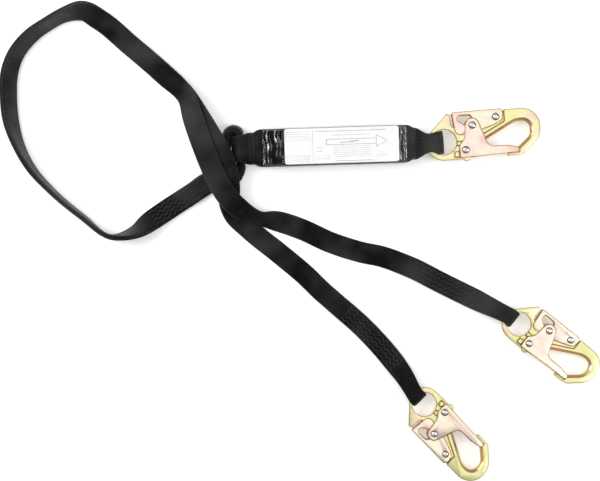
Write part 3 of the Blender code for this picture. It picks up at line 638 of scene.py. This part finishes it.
def webbing_material():
    """Black polyester webbing: ribs across, fine yarns along, painted highlight on the rib crests and painted
    shade between them.
    """
    g = Graph("ribbed_webbing")
    weave = g.attribute("weave")
    u, v, width = g.parts(weave)
    rib_turn = math.tau / (RIB_PITCH * MM)
    yarn = g.math("SINE", g.math("MULTIPLY", u, math.tau / (1.3 * MM)))
    shift = g.math("MULTIPLY", yarn, 0.7)
    rib = g.math("SINE", g.math("ADD", g.math("MULTIPLY", v, rib_turn), shift))
    rib = g.spread(rib, -1, 1, 0, 1)
    fuzz = g.noise(g.stretched(weave, 1, 0.35, 1), 2600, 2)
    patch = g.noise(g.place(), 55, 4)
    streak = g.noise(g.stretched(weave, 1, 0.04, 1), 900, 3)
    edge = g.math("DIVIDE", g.math("ABSOLUTE", u), width)
    worn_edge = g.spread(edge, 0.43, 0.5, 0, 1)
    # Painted highlight on the rib crests and painted shade in the valleys between them, patchy along the strap
    high = g.math("MULTIPLY", g.math("POWER", rib, 2.0), g.spread(patch, 0.35, 0.7, 0.35, 1.0))
    tone = g.math("ADD", g.math("MULTIPLY", high, 0.62), g.math("MULTIPLY", streak, 0.3))
    tone = g.math("ADD", tone, g.math("MULTIPLY", worn_edge, 0.25))
    # Near-black dye with random streaks and lighter worn edges, lighter still as painted highlight on the crests
    # and darker as painted shade in the valleys
    colour = g.ramp(tone, [
        (0.05, (0.0008, 0.0008, 0.0010)), (0.35, (0.003, 0.003, 0.0032)),
        (0.80, (0.036, 0.036, 0.037)),
    ])
    polish = g.noise(g.place(), 13, 2)
    height = g.math("ADD", rib, g.math("MULTIPLY", fuzz, 0.35))
    height = g.math("ADD", height, g.math("MULTIPLY", yarn, 0.18))
    return g.finish(
        base_color=colour,
        roughness=g.spread(patch, 0.3, 0.7, 0.40, 0.58),
        specular_ior_level=g.spread(polish, 0.38, 0.66, 0.04, 0.42),
        sheen_weight=0.05,
        sheen_roughness=0.5,
        normal=g.bump(height, 0.00027, 1.0),
    )


def thread_material():
    """Bonded sewing thread: twisted strands, a little lighter than the webbing."""
    g = Graph("sewing_thread")
    place = g.place()
    strand = g.noise(place, 2400, 2)
    lint = g.noise(place, 300, 3)
    colour = g.ramp(lint, [(0.3, (0.012, 0.012, 0.013)), (0.7, (0.045, 0.045, 0.048))])
    return g.finish(
        base_color=colour,
        roughness=g.spread(strand, 0.3, 0.7, 0.38, 0.6),
        specular_ior_level=0.3,
        normal=g.bump(strand, 0.00015, 0.7),
    )


def zinc_material():
    """Yellow zinc plating: pale pink faces, yellow-green towards the rims, painted dark shade along the edges and
    where faces turn away.
    """
    g = Graph("yellow_zinc_plating")
    place = g.place()
    drift = g.noise(place, 34, 3, 0.6)
    cloud = g.noise(g.stretched(place, 1, 1.7, 1), 95, 4, 0.6)
    stamped = g.ramp(drift, [
        (0.36, (0.93, 0.64, 0.56)), (0.46, (0.95, 0.76, 0.67)), (0.56, (0.92, 0.82, 0.62)),
        (0.66, (0.93, 0.68, 0.62)),
    ])
    forged = g.ramp(drift, [
        (0.34, (0.92, 0.70, 0.52)), (0.44, (0.86, 0.80, 0.46)), (0.56, (0.76, 0.77, 0.36)),
        (0.70, (0.90, 0.76, 0.50)),
    ])
    tint = g.nodes.new("ShaderNodeObjectInfo").outputs["Color"]
    face = g.blend(g.parts(tint)[0], stamped, forged)
    # Yellow-green plating tint in from the rims, then painted dark shade right along the edges
    rim_tint_and_edge_shade = g.math("ADD", g.rim(ZINC_RIM * MM), g.math("MULTIPLY", cloud, 0.06))
    rim = g.ramp(rim_tint_and_edge_shade, [
        (0.05, (0.78, 0.76, 0.32)), (0.085, (0.60, 0.46, 0.15)), (0.125, (0.20, 0.09, 0.04)),
        (0.19, (0.04, 0.02, 0.012)),
    ])
    colour = g.blend(g.spread(rim_tint_and_edge_shade, 0.035, 0.085, 0, 1), face, rim)
    facing = g.nodes.new("ShaderNodeLayerWeight")
    facing.inputs["Blend"].default_value = 0.35
    turn = facing.outputs["Facing"]
    # Painted shade: faces that turn away from the view get darker pink-brown tones
    turned_face_shade = g.ramp(turn, [
        (0.08, (0.84, 0.60, 0.42)), (0.21, (0.74, 0.40, 0.27)), (0.40, (0.76, 0.56, 0.24)),
        (0.85, (0.66, 0.52, 0.20)),
    ])
    colour = g.blend(g.spread(turn, 0.06, 0.18, 0, 0.7), colour, turned_face_shade)
    grain = g.noise(place, 1500, 3, 0.6)
    dents = g.noise(place, 160, 2)
    scratch = g.noise(g.stretched(place, 1, 9, 1), 420, 2, 0.5)
    polish = g.spread(cloud, 0.3, 0.7, 0.22, 0.34)
    rough_normal = g.bump(grain, 0.00003, 0.5)
    return g.finish(
        base_color=colour,
        metallic=1.0,
        roughness=g.math("ADD", polish, g.math("MULTIPLY", scratch, 0.1)),
        normal=g.bump(dents, 0.0002, 0.35, rough_normal),
    )


def rivet_material():
    """Bright rivet dome with fine turning marks and a few darker smudges."""
    g = Graph("rivet_dome_steel")
    place = g.place()
    smudge = g.noise(place, 420, 4, 0.6)
    grain = g.noise(place, 2600, 2)
    colour = g.ramp(smudge, [(0.3, (0.46, 0.44, 0.45)), (0.6, (0.80, 0.79, 0.80))])
    return g.finish(
        base_color=colour,
        metallic=1.0,
        roughness=g.spread(smudge, 0.3, 0.7, 0.34, 0.2),
        normal=g.bump(grain, 0.00002, 0.5),
    )


def spring_material():
    """Drawn wire, dull with a few stains."""
    g = Graph("spring_wire")
    place = g.place()
    stain = g.noise(place, 300, 3)
    drawn = g.noise(g.stretched(place, 1, 1, 6), 1800, 2)
    colour = g.ramp(stain, [(0.35, (0.28, 0.26, 0.24)), (0.65, (0.55, 0.54, 0.53))])
    return g.finish(
        base_color=colour,
        metallic=1.0,
        roughness=g.spread(stain, 0.3, 0.7, 0.28, 0.45),
        normal=g.bump(drawn, 0.00002, 0.5),
    )


def film_material():
    """Clear glossy shrink film: see-through face on, mirror-like where it turns away."""
    g = Graph("clear_shrink_film")
    place = g.place()
    haze = g.noise(place, 26, 4)
    g.finish(
        base_color=g.ramp(haze, [(0.3, (0.86, 0.88, 0.90)), (0.7, (0.97, 0.97, 0.98))]),
        metallic=1.0,
        roughness=g.spread(haze, 0.3, 0.7, 0.10, 0.2),
    )
    facing = g.nodes.new("ShaderNodeLayerWeight")
    facing.inputs["Blend"].default_value = 0.5
    turned_away = facing.outputs["Facing"]
    share = g.ramp(turned_away, [(turn, (seen,) * 3) for turn, seen in FILM_SEEN])
    inner_face = g.nodes.new("ShaderNodeNewGeometry").outputs["Backfacing"]
    share = g.math("MULTIPLY", share, g.math("SUBTRACT", 1.0, inner_face))
    clear = g.nodes.new("ShaderNodeBsdfTransparent")
    mixed = g.nodes.new("ShaderNodeMixShader")
    g.plug(mixed.inputs[0], share)
    g.links.new(clear.outputs[0], mixed.inputs[1])
    g.links.new(g.shader.outputs[0], mixed.inputs[2])
    g.links.new(mixed.outputs[0], g.nodes["Material Output"].inputs["Surface"])
    return g.material


def label_material():
    """Coated cool white card, scuffed in places."""
    g = Graph("white_label_card")
    place = g.place()
    scuff = g.noise(place, 90, 4, 0.6)
    fibre = g.noise(place, 1800, 3)
    colour = g.ramp(scuff, [(0.3, (0.84, 0.84, 0.86)), (0.75, (0.93, 0.93, 0.93))])
    return g.finish(
        base_color=colour,
        roughness=g.spread(fibre, 0.3, 0.7, 0.4, 0.6),
        normal=g.bump(fibre, 0.00003, 0.5),
    )


def ink_material():
    """Grey printing ink, uneven like a worn rule."""
    g = Graph("grey_print_ink")
    wear = g.noise(g.place(), 700, 3, 0.7)
    colour = g.ramp(wear, [(0.35, (0.22, 0.22, 0.24)), (0.62, (0.50, 0.50, 0.52))])
    return g.finish(base_color=colour, roughness=g.spread(wear, 0.3, 0.7, 0.5, 0.7))


def floor_material():
    """A pale sheet, lit a little from below like a light table, and more so far from the lamps."""
    g = Graph("pale_floor")
    place = g.place()
    tone = g.noise(place, 3, 2)
    colour = g.ramp(tone, [(0.3, (0.90, 0.90, 0.90)), (0.7, (0.92, 0.92, 0.92))])
    return g.finish(
        base_color=colour,
        roughness=0.75,
        emission_color=(1, 1, 1, 1),
        emission_strength=g.spread(g.length(place), 0.9, 3.2, 0.28, 0.85),
    )


# ---- Hooks: the CAD's own shapes, softened and plated ----

def shade_smooth_group():
    """A modifier's node group that shades every face smooth."""
    group = bpy.data.node_groups.new("shade_smooth", "GeometryNodeTree")
    group.interface.new_socket("Geometry", in_out="INPUT", socket_type="NodeSocketGeometry")
    group.interface.new_socket("Geometry", in_out="OUTPUT", socket_type="NodeSocketGeometry")
    source = group.nodes.new("NodeGroupInput")
    shade = group.nodes.new("GeometryNodeSetShadeSmooth")
    result = group.nodes.new("NodeGroupOutput")
    group.links.new(source.outputs[0], shade.inputs[0])
    group.links.new(shade.outputs[0], result.inputs[0])
    return group


def soften(obj, width, group):
    """Joins the flat faces' triangles, rounds the sharp rims and shades the rest smooth."""
    weld = obj.modifiers.new("join", "WELD")
    weld.merge_threshold = 1e-6
    flat = obj.modifiers.new("flat faces", "DECIMATE")
    flat.decimate_type = "DISSOLVE"
    flat.angle_limit = math.radians(0.6)
    smoothed = obj.modifiers.new("smooth", "NODES")
    smoothed.node_group = group
    bevel = obj.modifiers.new("rims", "BEVEL")
    bevel.width = width * MM
    bevel.segments = 2
    bevel.limit_method = "ANGLE"
    bevel.angle_limit = math.radians(32)
    bevel.harden_normals = True


def rivet_shape(node, name, dome, rim, body):
    """A domed rivet head on a flange, both sides, in place of the CAD's plain rivet."""
    low, high = box_mm(node)
    middle = (low + high) / 2
    radius = (high.x - low.x) / 2
    top = (high.z - low.z) / 2
    head = radius * 0.43
    seat = top - head
    profile = [
        (0.0, top), (0.22, top - 0.02 * head), (0.42, top - 0.09 * head), (0.6, top - 0.24 * head),
        (0.74, top - 0.45 * head), (0.82, top - 0.68 * head), (0.85, top - 0.76 * head),
        (0.93, top - 0.76 * head), (0.985, top - 0.82 * head), (1.0, top - 0.9 * head),
        (1.0, seat + 0.04 * head), (0.97, seat), (0.71, seat),
    ]
    half = [(share * radius, height) for share, height in profile]
    outline = half + [(r, -height) for r, height in reversed(half)]
    segments = 40
    points = []
    for r, height in outline[1:-1]:
        for k in range(segments):
            angle = math.tau * k / segments
            points.append(middle + Vector((r * math.cos(angle), r * math.sin(angle), height)))
    rows = len(outline) - 2
    faces = turned(ring_faces(rows, segments))
    points += [middle + Vector((0, 0, top)), middle - Vector((0, 0, top))]
    last = (rows - 1) * segments
    for k in range(segments):
        n = (k + 1) % segments
        faces.append((len(points) - 2, k, n))
        faces.append((len(points) - 1, last + n, last + k))
    obj = new_piece(name, points, faces, dome, body)
    obj.data.materials.append(rim)
    for polygon in obj.data.polygons:
        reach = (Vector(polygon.center) / MM - middle).xy.length / radius
        polygon.material_index = 1 if reach > 0.84 else 0
    obj.data.set_sharp_from_angle(angle=math.radians(40))
    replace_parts(obj, node)


def lock_spring(name, material):
    """The coil between a hook and its lever, finer than the CAD's."""
    hook = name.removesuffix("_lock_spring")
    bar = joint_place(hook + "_hook_swing")
    along = ahead_of(joint_side(hook + "_hook_swing"))
    reach = joint_place(hook + "_lock_press") - bar
    size = reach.dot(along) / LEVER_PIVOT_AHEAD
    spine = (reach - along * reach.dot(along)).normalized()
    across = spine.cross(along)
    foot = bar + (along * LOCK_SPRING_AHEAD + spine * LOCK_SPRING_FOOT) * size
    length = LOCK_SPRING_LENGTH * size
    wire = LOCK_SPRING_WIRE * size
    end_turn = 2.2 * wire
    heights = (wire, end_turn, length - end_turn, length - wire)
    steps, sides = 20 * LOCK_SPRING_TURNS, 10
    points = []
    for i in range(steps + 1):
        angle = math.tau * LOCK_SPRING_TURNS * i / steps
        radial = along * math.cos(angle) + across * math.sin(angle)
        rise = np.interp(i / steps, (0, 0.14, 0.86, 1), heights)
        centre = foot + spine * float(rise) + radial * (LOCK_SPRING_RADIUS * size)
        for k in range(sides):
            turn = math.tau * k / sides
            points.append(centre + (radial * math.cos(turn) + spine * math.sin(turn)) * wire)
    shape = tube_faces(steps + 1, sides)
    coil = new_piece(name + "_coil", points, shape, material, None)
    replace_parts(coil, name)
    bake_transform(coil)


def dress_hooks(zinc, rivet, spring):
    group = shade_smooth_group()
    bodies = frame["record"]["behaviour"]["bodies"]
    for body, members in bodies.items():
        for node in members:
            obj = frame["nodes"][node]
            if node.endswith("_rivet"):
                rivet_shape(node, node + "_head", rivet, zinc, body)
            elif node.endswith("_lock_spring"):
                lock_spring(node, spring)
            elif node.endswith("_spring"):
                paint(obj, spring)
                soften(obj, SPRING_RIM, group)
            elif node.endswith(("_hook_body", "_hook_gate", "_hook_lock_lever")):
                paint(obj, zinc)
                # The zinc reads the first channel: 1 for a forged body, 0 for a stamped plate
                obj.color = (float(node.endswith("_body")), 0, 0, 1)
                soften(obj, BODY_RIM if node.endswith("_body") else PLATE_RIM, group)


def paint(obj, material):
    obj.data.materials.clear()
    obj.data.materials.append(material)


# ---- Legs ----

def place_at(sections, point, distance):
    """Where in plan a strap's middle is this far from a point."""
    return min(sections, key=lambda s: abs((s.centre.xy - point.xy).length - distance)).centre.xy


def add_legs(webbing, thread):
    for leg in STACK_LAYER:
        sections = leg_sections(leg)
        upper, wrap, tail = leg_eye_sections(leg)
        piece = strap(leg + "_webbing", sections + upper + wrap + tail, webbing, None)
        nodes = [leg + "_eye_webbing"] + (["legs_webbing"] if leg == "leg_a" else [])
        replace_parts(piece, *nodes)
        axis = joint_place(leg + "_flex")
        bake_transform(piece)
        bar = joint_place(leg + "_hook_swing")
        sewn_from = place_at(upper, axis, EYE_SEAM_START)
        sewn_to = place_at(upper, bar, EYE_SEAM_END)
        top = stitch_rows(upper, sewn_from, sewn_to, LEG_STITCHES)
        under = stitch_rows(tail, sewn_to, sewn_from, LEG_STITCHES)
        eye = leg + "_eye"
        add_stitching(leg + "_stitching", thread, eye, eye + "_stitching", top, under)
        if leg == "leg_a":
            yoke = stitch_rows(sections, *YOKE_SEAM, LEG_STITCHES)
            add_stitching("yoke_sewing", thread, "legs", "yoke_stitching", yoke)


# ---- Pack ----

def pack_strap(name, sections, webbing, node):
    """A strap whose sections are in the pack's own frame."""
    turn = PACK_TURN.to_3x3()
    for section in sections:
        section.centre = turn @ section.centre
        section.across = turn @ section.across
    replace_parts(strap(name, sections, webbing, "pack"), node)


def folded_web_sections(node):
    low, high = node_span_in_pack(node)
    turn = TEAR_WEB_PITCH / 2
    edge = turn + TEAR_WEB_THICKNESS / 2
    ends = (low[0] + edge, high[0] - edge)
    across = Vector((0, 1, 0))
    places = []
    for strand in range(TEAR_WEB_STRANDS):
        height = low[2] + TEAR_WEB_THICKNESS / 2 + strand * TEAR_WEB_PITCH
        first, last = ends if strand % 2 else ends[::-1]
        outward = 1 if last > first else -1
        places += [Vector((x, 0, height)) for x in np.linspace(first, last, 60)]
        if strand + 1 < TEAR_WEB_STRANDS:
            for angle in (-75, -60, -45, -30, -15, 0, 15, 30, 45, 60, 75):
                sweep = math.radians(angle)
                x = last + outward * turn * math.cos(sweep)
                places.append(Vector((x, 0, height + turn + turn * math.sin(sweep))))
    sections = []
    for place in places:
        to_end = min(place.x - low[0], high[0] - place.x)
        width = TEAR_WEB_WIDTH - FOLD_END_TAPER * (1 - smoothstep(to_end / 10))
        sections.append(Section(place, across, width, TEAR_WEB_THICKNESS, 0.0))
    return sections


def loop_height():
    """Middle height of the pack's two loops, between the folded webs."""
    return (node_span_in_pack("backup_web")[1][2] + node_span_in_pack("tear_web")[0][2]) / 2


def leg_loop_sections():
    across = Vector((0, 1, 0))
    middle = loop_height()
    inner_end = node_span_in_pack("pack_leg_loop")[1][0]
    upper, lower = middle + LOOP_LAYER_OFFSET, middle - LOOP_LAYER_OFFSET
    places = [Vector((x, 0, upper)) for x in np.linspace(inner_end, LEG_LOOP_OUT, 16)]
    for t in np.linspace(0.08, 0.92, 9):
        height = upper + (BIGHT.z + LEG_LOOP_RADIUS - upper) * smoothstep(t)
        places.append(Vector((LEG_LOOP_OUT + (BIGHT_X - LEG_LOOP_OUT) * t, 0, height)))
    for angle in np.linspace(math.pi / 2, 3 * math.pi / 2, 25):
        x = BIGHT_X + LEG_LOOP_RADIUS * math.cos(angle)
        places.append(Vector((x, 0, BIGHT.z + LEG_LOOP_RADIUS * math.sin(angle))))
    under = LEG_LOOP_OUT + 2
    for t in np.linspace(0.92, 0.0, 10):
        height = lower + (BIGHT.z - LEG_LOOP_RADIUS - lower) * smoothstep(t)
        places.append(Vector((under + (BIGHT_X - under) * t, 0, height)))
    places += [Vector((x, 0, lower)) for x in np.linspace(under + 2, inner_end, 14)]
    sections = []
    for place in places:
        pull = smoothstep((LEG_LOOP_OUT - place.x) / 14)
        width = LEG_LOOP_WIDTH - LEG_LOOP_DRAW * pull
        sections.append(Section(place, across, width, LEG_THICKNESS, 0.0))
    return sections


def harness_loop_sections():
    middle = loop_height()
    inner_end = node_span_in_pack("pack_harness_loop")[0][0]
    stations = (inner_end, HARNESS_LOOP_NARROWS, HARNESS_SEAM_START)
    plan = [tuple(in_pack(x, 0).xy) for x in stations]
    heights = (middle + LOOP_LAYER_OFFSET, middle - LOOP_LAYER_OFFSET)
    return eye_sections(
        "harness", plan, heights, HARNESS_LOOP_RISE, HARNESS_LOOP_WIDTHS,
        HARNESS_LOOP_RADIUS, HARNESS_LOOP_REACH,
    )


def film_outline(width, height, corner, count):
    """Evenly spaced points round a rounded box, each with its outward direction."""
    straight_y = width / 2 - corner
    straight_z = height / 2 - corner
    lengths = [2 * straight_y, corner * math.pi / 2, 2 * straight_z, corner * math.pi / 2]
    total = 2 * sum(lengths)
    made = []
    for i in range(count):
        at = total * i / count
        side = 0
        while at > lengths[side % 4]:
            at -= lengths[side % 4]
            side += 1
        quarter = side // 2
        turn = Matrix.Rotation(-quarter * math.pi / 2, 2)
        reach = (straight_y, straight_z) if quarter % 2 == 0 else (straight_z, straight_y)
        if side % 2 == 0:
            point = Vector((-reach[0] + at, reach[1] + corner))
            out = Vector((0, 1))
        else:
            angle = math.pi / 2 - at / corner
            out = Vector((math.cos(angle), math.sin(angle)))
            point = Vector(reach) + out * corner
        made.append((turn @ point, turn @ out))
    return made


# Creases of the film that run across the pack: (distance from its end, height, half width)
LEFT_CREASES = ((2.5, 0.6, 1.6), (7.5, 1.4, 2.5), (12.5, 0.4, 1.5), (18.0, 1.5, 2.6))
RIGHT_CREASES = ((3.5, 0.7, 1.6), (8.4, 1.3, 2.0))


def film_wrinkle(x, y, z, left_end, right_end):
    """How far the film stands out here: creased across near its ends, faintly rippled elsewhere."""
    drift = 1.6 * noise.noise(Vector((y / 14, z / 12, 2.5)))
    stand = 0.12 * noise.noise(Vector((x / 9, y / 22, z / 16 + 4)))
    for creases, end, inward in ((LEFT_CREASES, left_end, 1), (RIGHT_CREASES, right_end, -1)):
        for i, (distance, height, half_width) in enumerate(creases):
            off = (x - end) * inward - distance - drift * (1 + 0.3 * i)
            fade = 0.6 + 0.8 * noise.noise(Vector((y / 11, z / 8, 7.7 * i + inward)))
            stand += height * max(fade, 0.0) * math.exp(-(off / half_width) ** 2)
    return stand


def add_film(material):
    low, high = node_span_in_pack("pack_shrink_cover")
    width, height = high[1] - low[1], high[2] - low[2]
    around, rows = 150, 170
    points = []
    stations = np.linspace(low[0], high[0], rows)
    for wall in (0.0, FILM_THICKNESS):
        for x in stations:
            to_end = min(x - low[0], high[0] - x)
            tuck = FILM_TUCK * (1 - smoothstep(to_end / 7))
            outline = film_outline(width - 2 * tuck, height - 2 * tuck, FILM_CORNER, around)
            for (y, z), out in outline:
                stand = film_wrinkle(x, y, z, low[0], high[0]) + FILM_STAND - wall
                y_out, z_out = y + out.x * stand, z + out.y * stand
                z_out = max(z_out, -height / 2 + 0.1)
                points.append(in_pack(x, y_out, height / 2 + z_out))
    layer = rows * around
    faces = ring_faces(rows, around)
    faces += [face[::-1] for face in ring_faces(rows, around, layer)]
    for row in (0, rows - 1):
        for i in range(around):
            j = (i + 1) % around
            a = row * around
            quad = (a + i, layer + a + i, layer + a + j, a + j)
            faces.append(quad if row == 0 else quad[::-1])
    film = new_piece("shrink_film", points, faces, material, "pack")
    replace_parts(film, "pack_shrink_cover")


def card_wave(x, y):
    """How far the label stands off the flat here."""
    return noise.noise(Vector((x / 25, y / 18, 9))) * LABEL_WAVES


def grid_plate(low, high, corner, columns, rows):
    """Points and faces of a thin card with rounded corners that isn't quite flat."""
    points, faces = [], []
    for z in (high[2], low[2]):
        for i in range(columns):
            for j in range(rows):
                x = low[0] + (high[0] - low[0]) * i / (columns - 1)
                y = low[1] + (high[1] - low[1]) * j / (rows - 1)
                over_x = max(0.0, corner - min(x - low[0], high[0] - x))
                over_y = max(0.0, corner - min(y - low[1], high[1] - y))
                over = math.hypot(over_x, over_y)
                if over > corner:
                    pull = 1 - corner / over
                    x += math.copysign(over_x * pull, -x)
                    y += math.copysign(over_y * pull, -y)
                points.append(in_pack(x, y, z + card_wave(x, y)))
    layer = columns * rows
    for i in range(columns - 1):
        for j in range(rows - 1):
            a = i * rows + j
            quad = (a, a + rows, a + rows + 1, a + 1)
            faces.append(quad)
            faces.append(tuple(v + layer for v in quad[::-1]))
    rim = [i * rows for i in range(columns)]
    rim += [(columns - 1) * rows + j for j in range(1, rows)]
    rim += [i * rows + rows - 1 for i in range(columns - 2, -1, -1)]
    rim += [j for j in range(rows - 2, 0, -1)]
    for a, b in zip(rim, rim[1:] + rim[:1]):
        faces.append((a, a + layer, b + layer, b))
    return points, faces


def dashes(x0, x1, y, thickness, seed):
    """A rule broken into dashes of uneven length, as closed outlines."""
    made = []
    x = x0
    step = 0
    while x < x1 - 0.8:
        length = 1.6 + 2.4 * abs(noise.noise(Vector((seed * 1.7, step * 2.3, 0.4))))
        made.append(bar(x, y, min(x + length, x1), y, thickness))
        x += length + 0.7
        step += 1
    return made


def bar(x0, y0, x1, y1, thickness):
    """A straight line of ink between two points, as an outline."""
    along = Vector((x1 - x0, y1 - y0)).normalized() * thickness / 2
    aside = Vector((-along.y, along.x))
    start, end = Vector((x0, y0)) - along, Vector((x1, y1)) + along
    return [tuple(p) for p in (start - aside, end - aside, end + aside, start + aside)]


def closed_line(corners, thickness):
    """Ink all round a polygon, in pieces short enough to follow the card's waves."""
    made = []
    for a, b in zip(corners, corners[1:] + corners[:1]):
        a, b = Vector(a), Vector(b)
        pieces = max(1, math.ceil((b - a).length / INK_PIECE))
        for i in range(pieces):
            made.append(bar(*a.lerp(b, i / pieces), *a.lerp(b, (i + 1) / pieces), thickness))
    return made


def oblong(x0, y0, x1, y1):
    return [(x0, y0), (x1, y0), (x1, y1), (x0, y1)]


def label_shapes(length, width):
    """Plain rules, frames and an outline arrow, laid out on a label of this size."""
    x_unit, y_unit = length / 2, width / 2
    left_block = (0.80, 0.68, 0.56, 0.44, 0.32, -0.52, -0.64, -0.76, -0.88)
    rows = [(-0.92, -0.43, y, 0.32) for y in left_block]
    rows += [(-0.02, 0.64, y, 0.32) for y in (-0.06, -0.17, -0.29, -0.41, -0.53, -0.64)]
    rows += [(-0.33, 0.90, 0.80, 0.6), (-0.06, 0.64, 0.57, 0.4), (0.02, 0.68, -0.88, 0.6)]
    rows += [(-0.33, -0.06, -0.58, 0.32), (-0.33, -0.06, -0.74, 0.32), (0.72, 0.95, -0.62, 0.32)]
    shapes = []
    for i, (x0, x1, y, thickness) in enumerate(rows):
        shapes += dashes(x0 * x_unit, x1 * x_unit, y * y_unit, thickness, i)
    framed = oblong(-0.14 * x_unit, 0.04 * y_unit, 0.73 * x_unit, 0.34 * y_unit)
    icon = oblong(-0.31 * x_unit, -0.32 * y_unit, -0.22 * x_unit, -0.08 * y_unit)
    rule = [(-0.38 * x_unit, 0.9 * y_unit), (-0.38 * x_unit, -0.9 * y_unit)]
    head = [(x * x_unit, y * y_unit) for x, y in ((0.73, 0.52), (0.92, 0.19), (0.73, -0.14))]
    for outline, thickness in ((framed, 0.6), (icon, 0.35), (rule, 0.3), (head, 0.5)):
        shapes += closed_line(outline, thickness)
    shapes.append(bar(0.10 * x_unit, 0.16 * y_unit, 0.26 * x_unit, 0.17 * y_unit, 0.8))
    shapes.append(bar(0.26 * x_unit, 0.17 * y_unit, 0.42 * x_unit, 0.23 * y_unit, 1.1))
    return shapes


def add_label(card, ink):
    low, high = node_span_in_pack("pack_label")
    points, faces = grid_plate(low, high, LABEL_CORNER, 60, 22)
    label = new_piece("pack_label_card", points, faces, card, "pack")
    label.data.set_sharp_from_angle(angle=math.radians(40))
    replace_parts(label, "pack_label")
    points, faces = [], []
    for outline in label_shapes(high[0] - low[0], high[1] - low[1]):
        add_flat(points, faces, outline, high[2])
    new_piece("pack_label_print", points, faces, ink, "pack")


def add_flat(points, faces, outline, height):
    """A flat patch of ink just above the card, as a closed sliver."""
    for lift in (0.05, -0.05):
        for x, y in outline:
            points.append(in_pack(x, y, height + card_wave(x, y) + lift))
    count = len(outline)
    base = len(points) - 2 * count
    faces.append(tuple(base + i for i in range(count)))
    faces.append(tuple(base + count + i for i in range(count - 1, -1, -1)))
    for i in range(count):
        j = (i + 1) % count
        faces.append((base + i, base + count + i, base + count + j, base + j))


def add_pack(webbing, thread, film, card, ink):
    pack_strap("tear_web_folds", folded_web_sections("tear_web"), webbing, "tear_web")
    pack_strap("backup_web_folds", folded_web_sections("backup_web"), webbing, "backup_web")
    pack_strap("leg_loop_webbing", leg_loop_sections(), webbing, "pack_leg_loop")
    upper, wrap, lower = harness_loop_sections()
    loop = strap("harness_loop_webbing", upper + wrap + lower, webbing, "pack")
    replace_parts(loop, "pack_harness_loop")
    start, end = in_pack(HARNESS_SEAM_START, 0).xy, in_pack(HARNESS_SEAM_END, 0).xy
    top = stitch_rows(upper, start, end, HARNESS_STITCHES)
    under = stitch_rows(lower, end, start, HARNESS_STITCHES)
    add_stitching("harness_loop_sewing", thread, "pack", "harness_loop_stitching", top, under)
    add_film(film)
    add_label(card, ink)


# ---- Stage ----

VIEW_CENTRE = Vector((-40.8, -112.2, 0)) * MM
VIEW_WIDTH = 720 * MM
STUDIO_FILL = 0.24  # light from all round; the backdrop itself is seen as white
LENS = 85.0
SENSOR = 36.0
FLOOR_REACH = 6.0
FLOOR_DROP = 0.0002
LAMPS = (  # name, place from the view's centre and size in metres, power in watts
    ("overhead", (0.1, 0.3, 2.3), 3.0, 26),
    ("window", (-1.35, 0.5, 1.25), 1.1, 26),
    ("fill", (1.6, -0.2, 1.15), 0.9, 15),
)


def add_light(name, offset, size, power):
    light = bpy.data.lights.new(name, "AREA")
    light.shape = "SQUARE"
    light.size = size
    light.energy = power
    obj = bpy.data.objects.new(name, light)
    bpy.context.scene.collection.objects.link(obj)
    obj.location = VIEW_CENTRE + Vector(offset)
    obj.rotation_euler = (VIEW_CENTRE - obj.location).to_track_quat("-Z", "Y").to_euler()


def add_stage():
    mesh = bpy.data.meshes.new("floor")
    corners = [(x * FLOOR_REACH, y * FLOOR_REACH, 0) for x, y in ((-1, -1), (1, -1), (1, 1), (-1, 1))]
    mesh.from_pydata(corners, [], [(0, 1, 2, 3)])
    mesh.materials.append(floor_material())
    floor = bpy.data.objects.new("floor", mesh)
    bpy.context.scene.collection.objects.link(floor)
    floor.location.z = -FLOOR_DROP
    camera_data = bpy.data.cameras.new("camera")
    camera_data.type = "PERSP"
    camera_data.lens = LENS
    camera_data.sensor_width = SENSOR
    camera = bpy.data.objects.new("camera", camera_data)
    bpy.context.scene.collection.objects.link(camera)
    camera.location = VIEW_CENTRE + Vector((0, 0, VIEW_WIDTH * LENS / SENSOR))
    bpy.context.scene.camera = camera
    world = bpy.data.worlds.new("studio")
    world.use_nodes = True
    nodes, links = world.node_tree.nodes, world.node_tree.links
    seen = nodes.new("ShaderNodeMapRange")
    links.new(nodes.new("ShaderNodeLightPath").outputs["Is Camera Ray"], seen.inputs["Value"])
    seen.inputs["To Min"].default_value = STUDIO_FILL
    links.new(seen.outputs[0], nodes["Background"].inputs[1])
    nodes["Background"].inputs[0].default_value = (1, 1, 1, 1)
    bpy.context.scene.world = world
    for lamp in LAMPS:
        add_light(*lamp)
    bpy.context.scene.view_settings.view_transform = "Standard"


def main():
    webbing = webbing_material()
    thread = thread_material()
    dress_hooks(zinc_material(), rivet_material(), spring_material())
    add_legs(webbing, thread)
    add_pack(webbing, thread, film_material(), label_material(), ink_material())
    add_stage()


main()
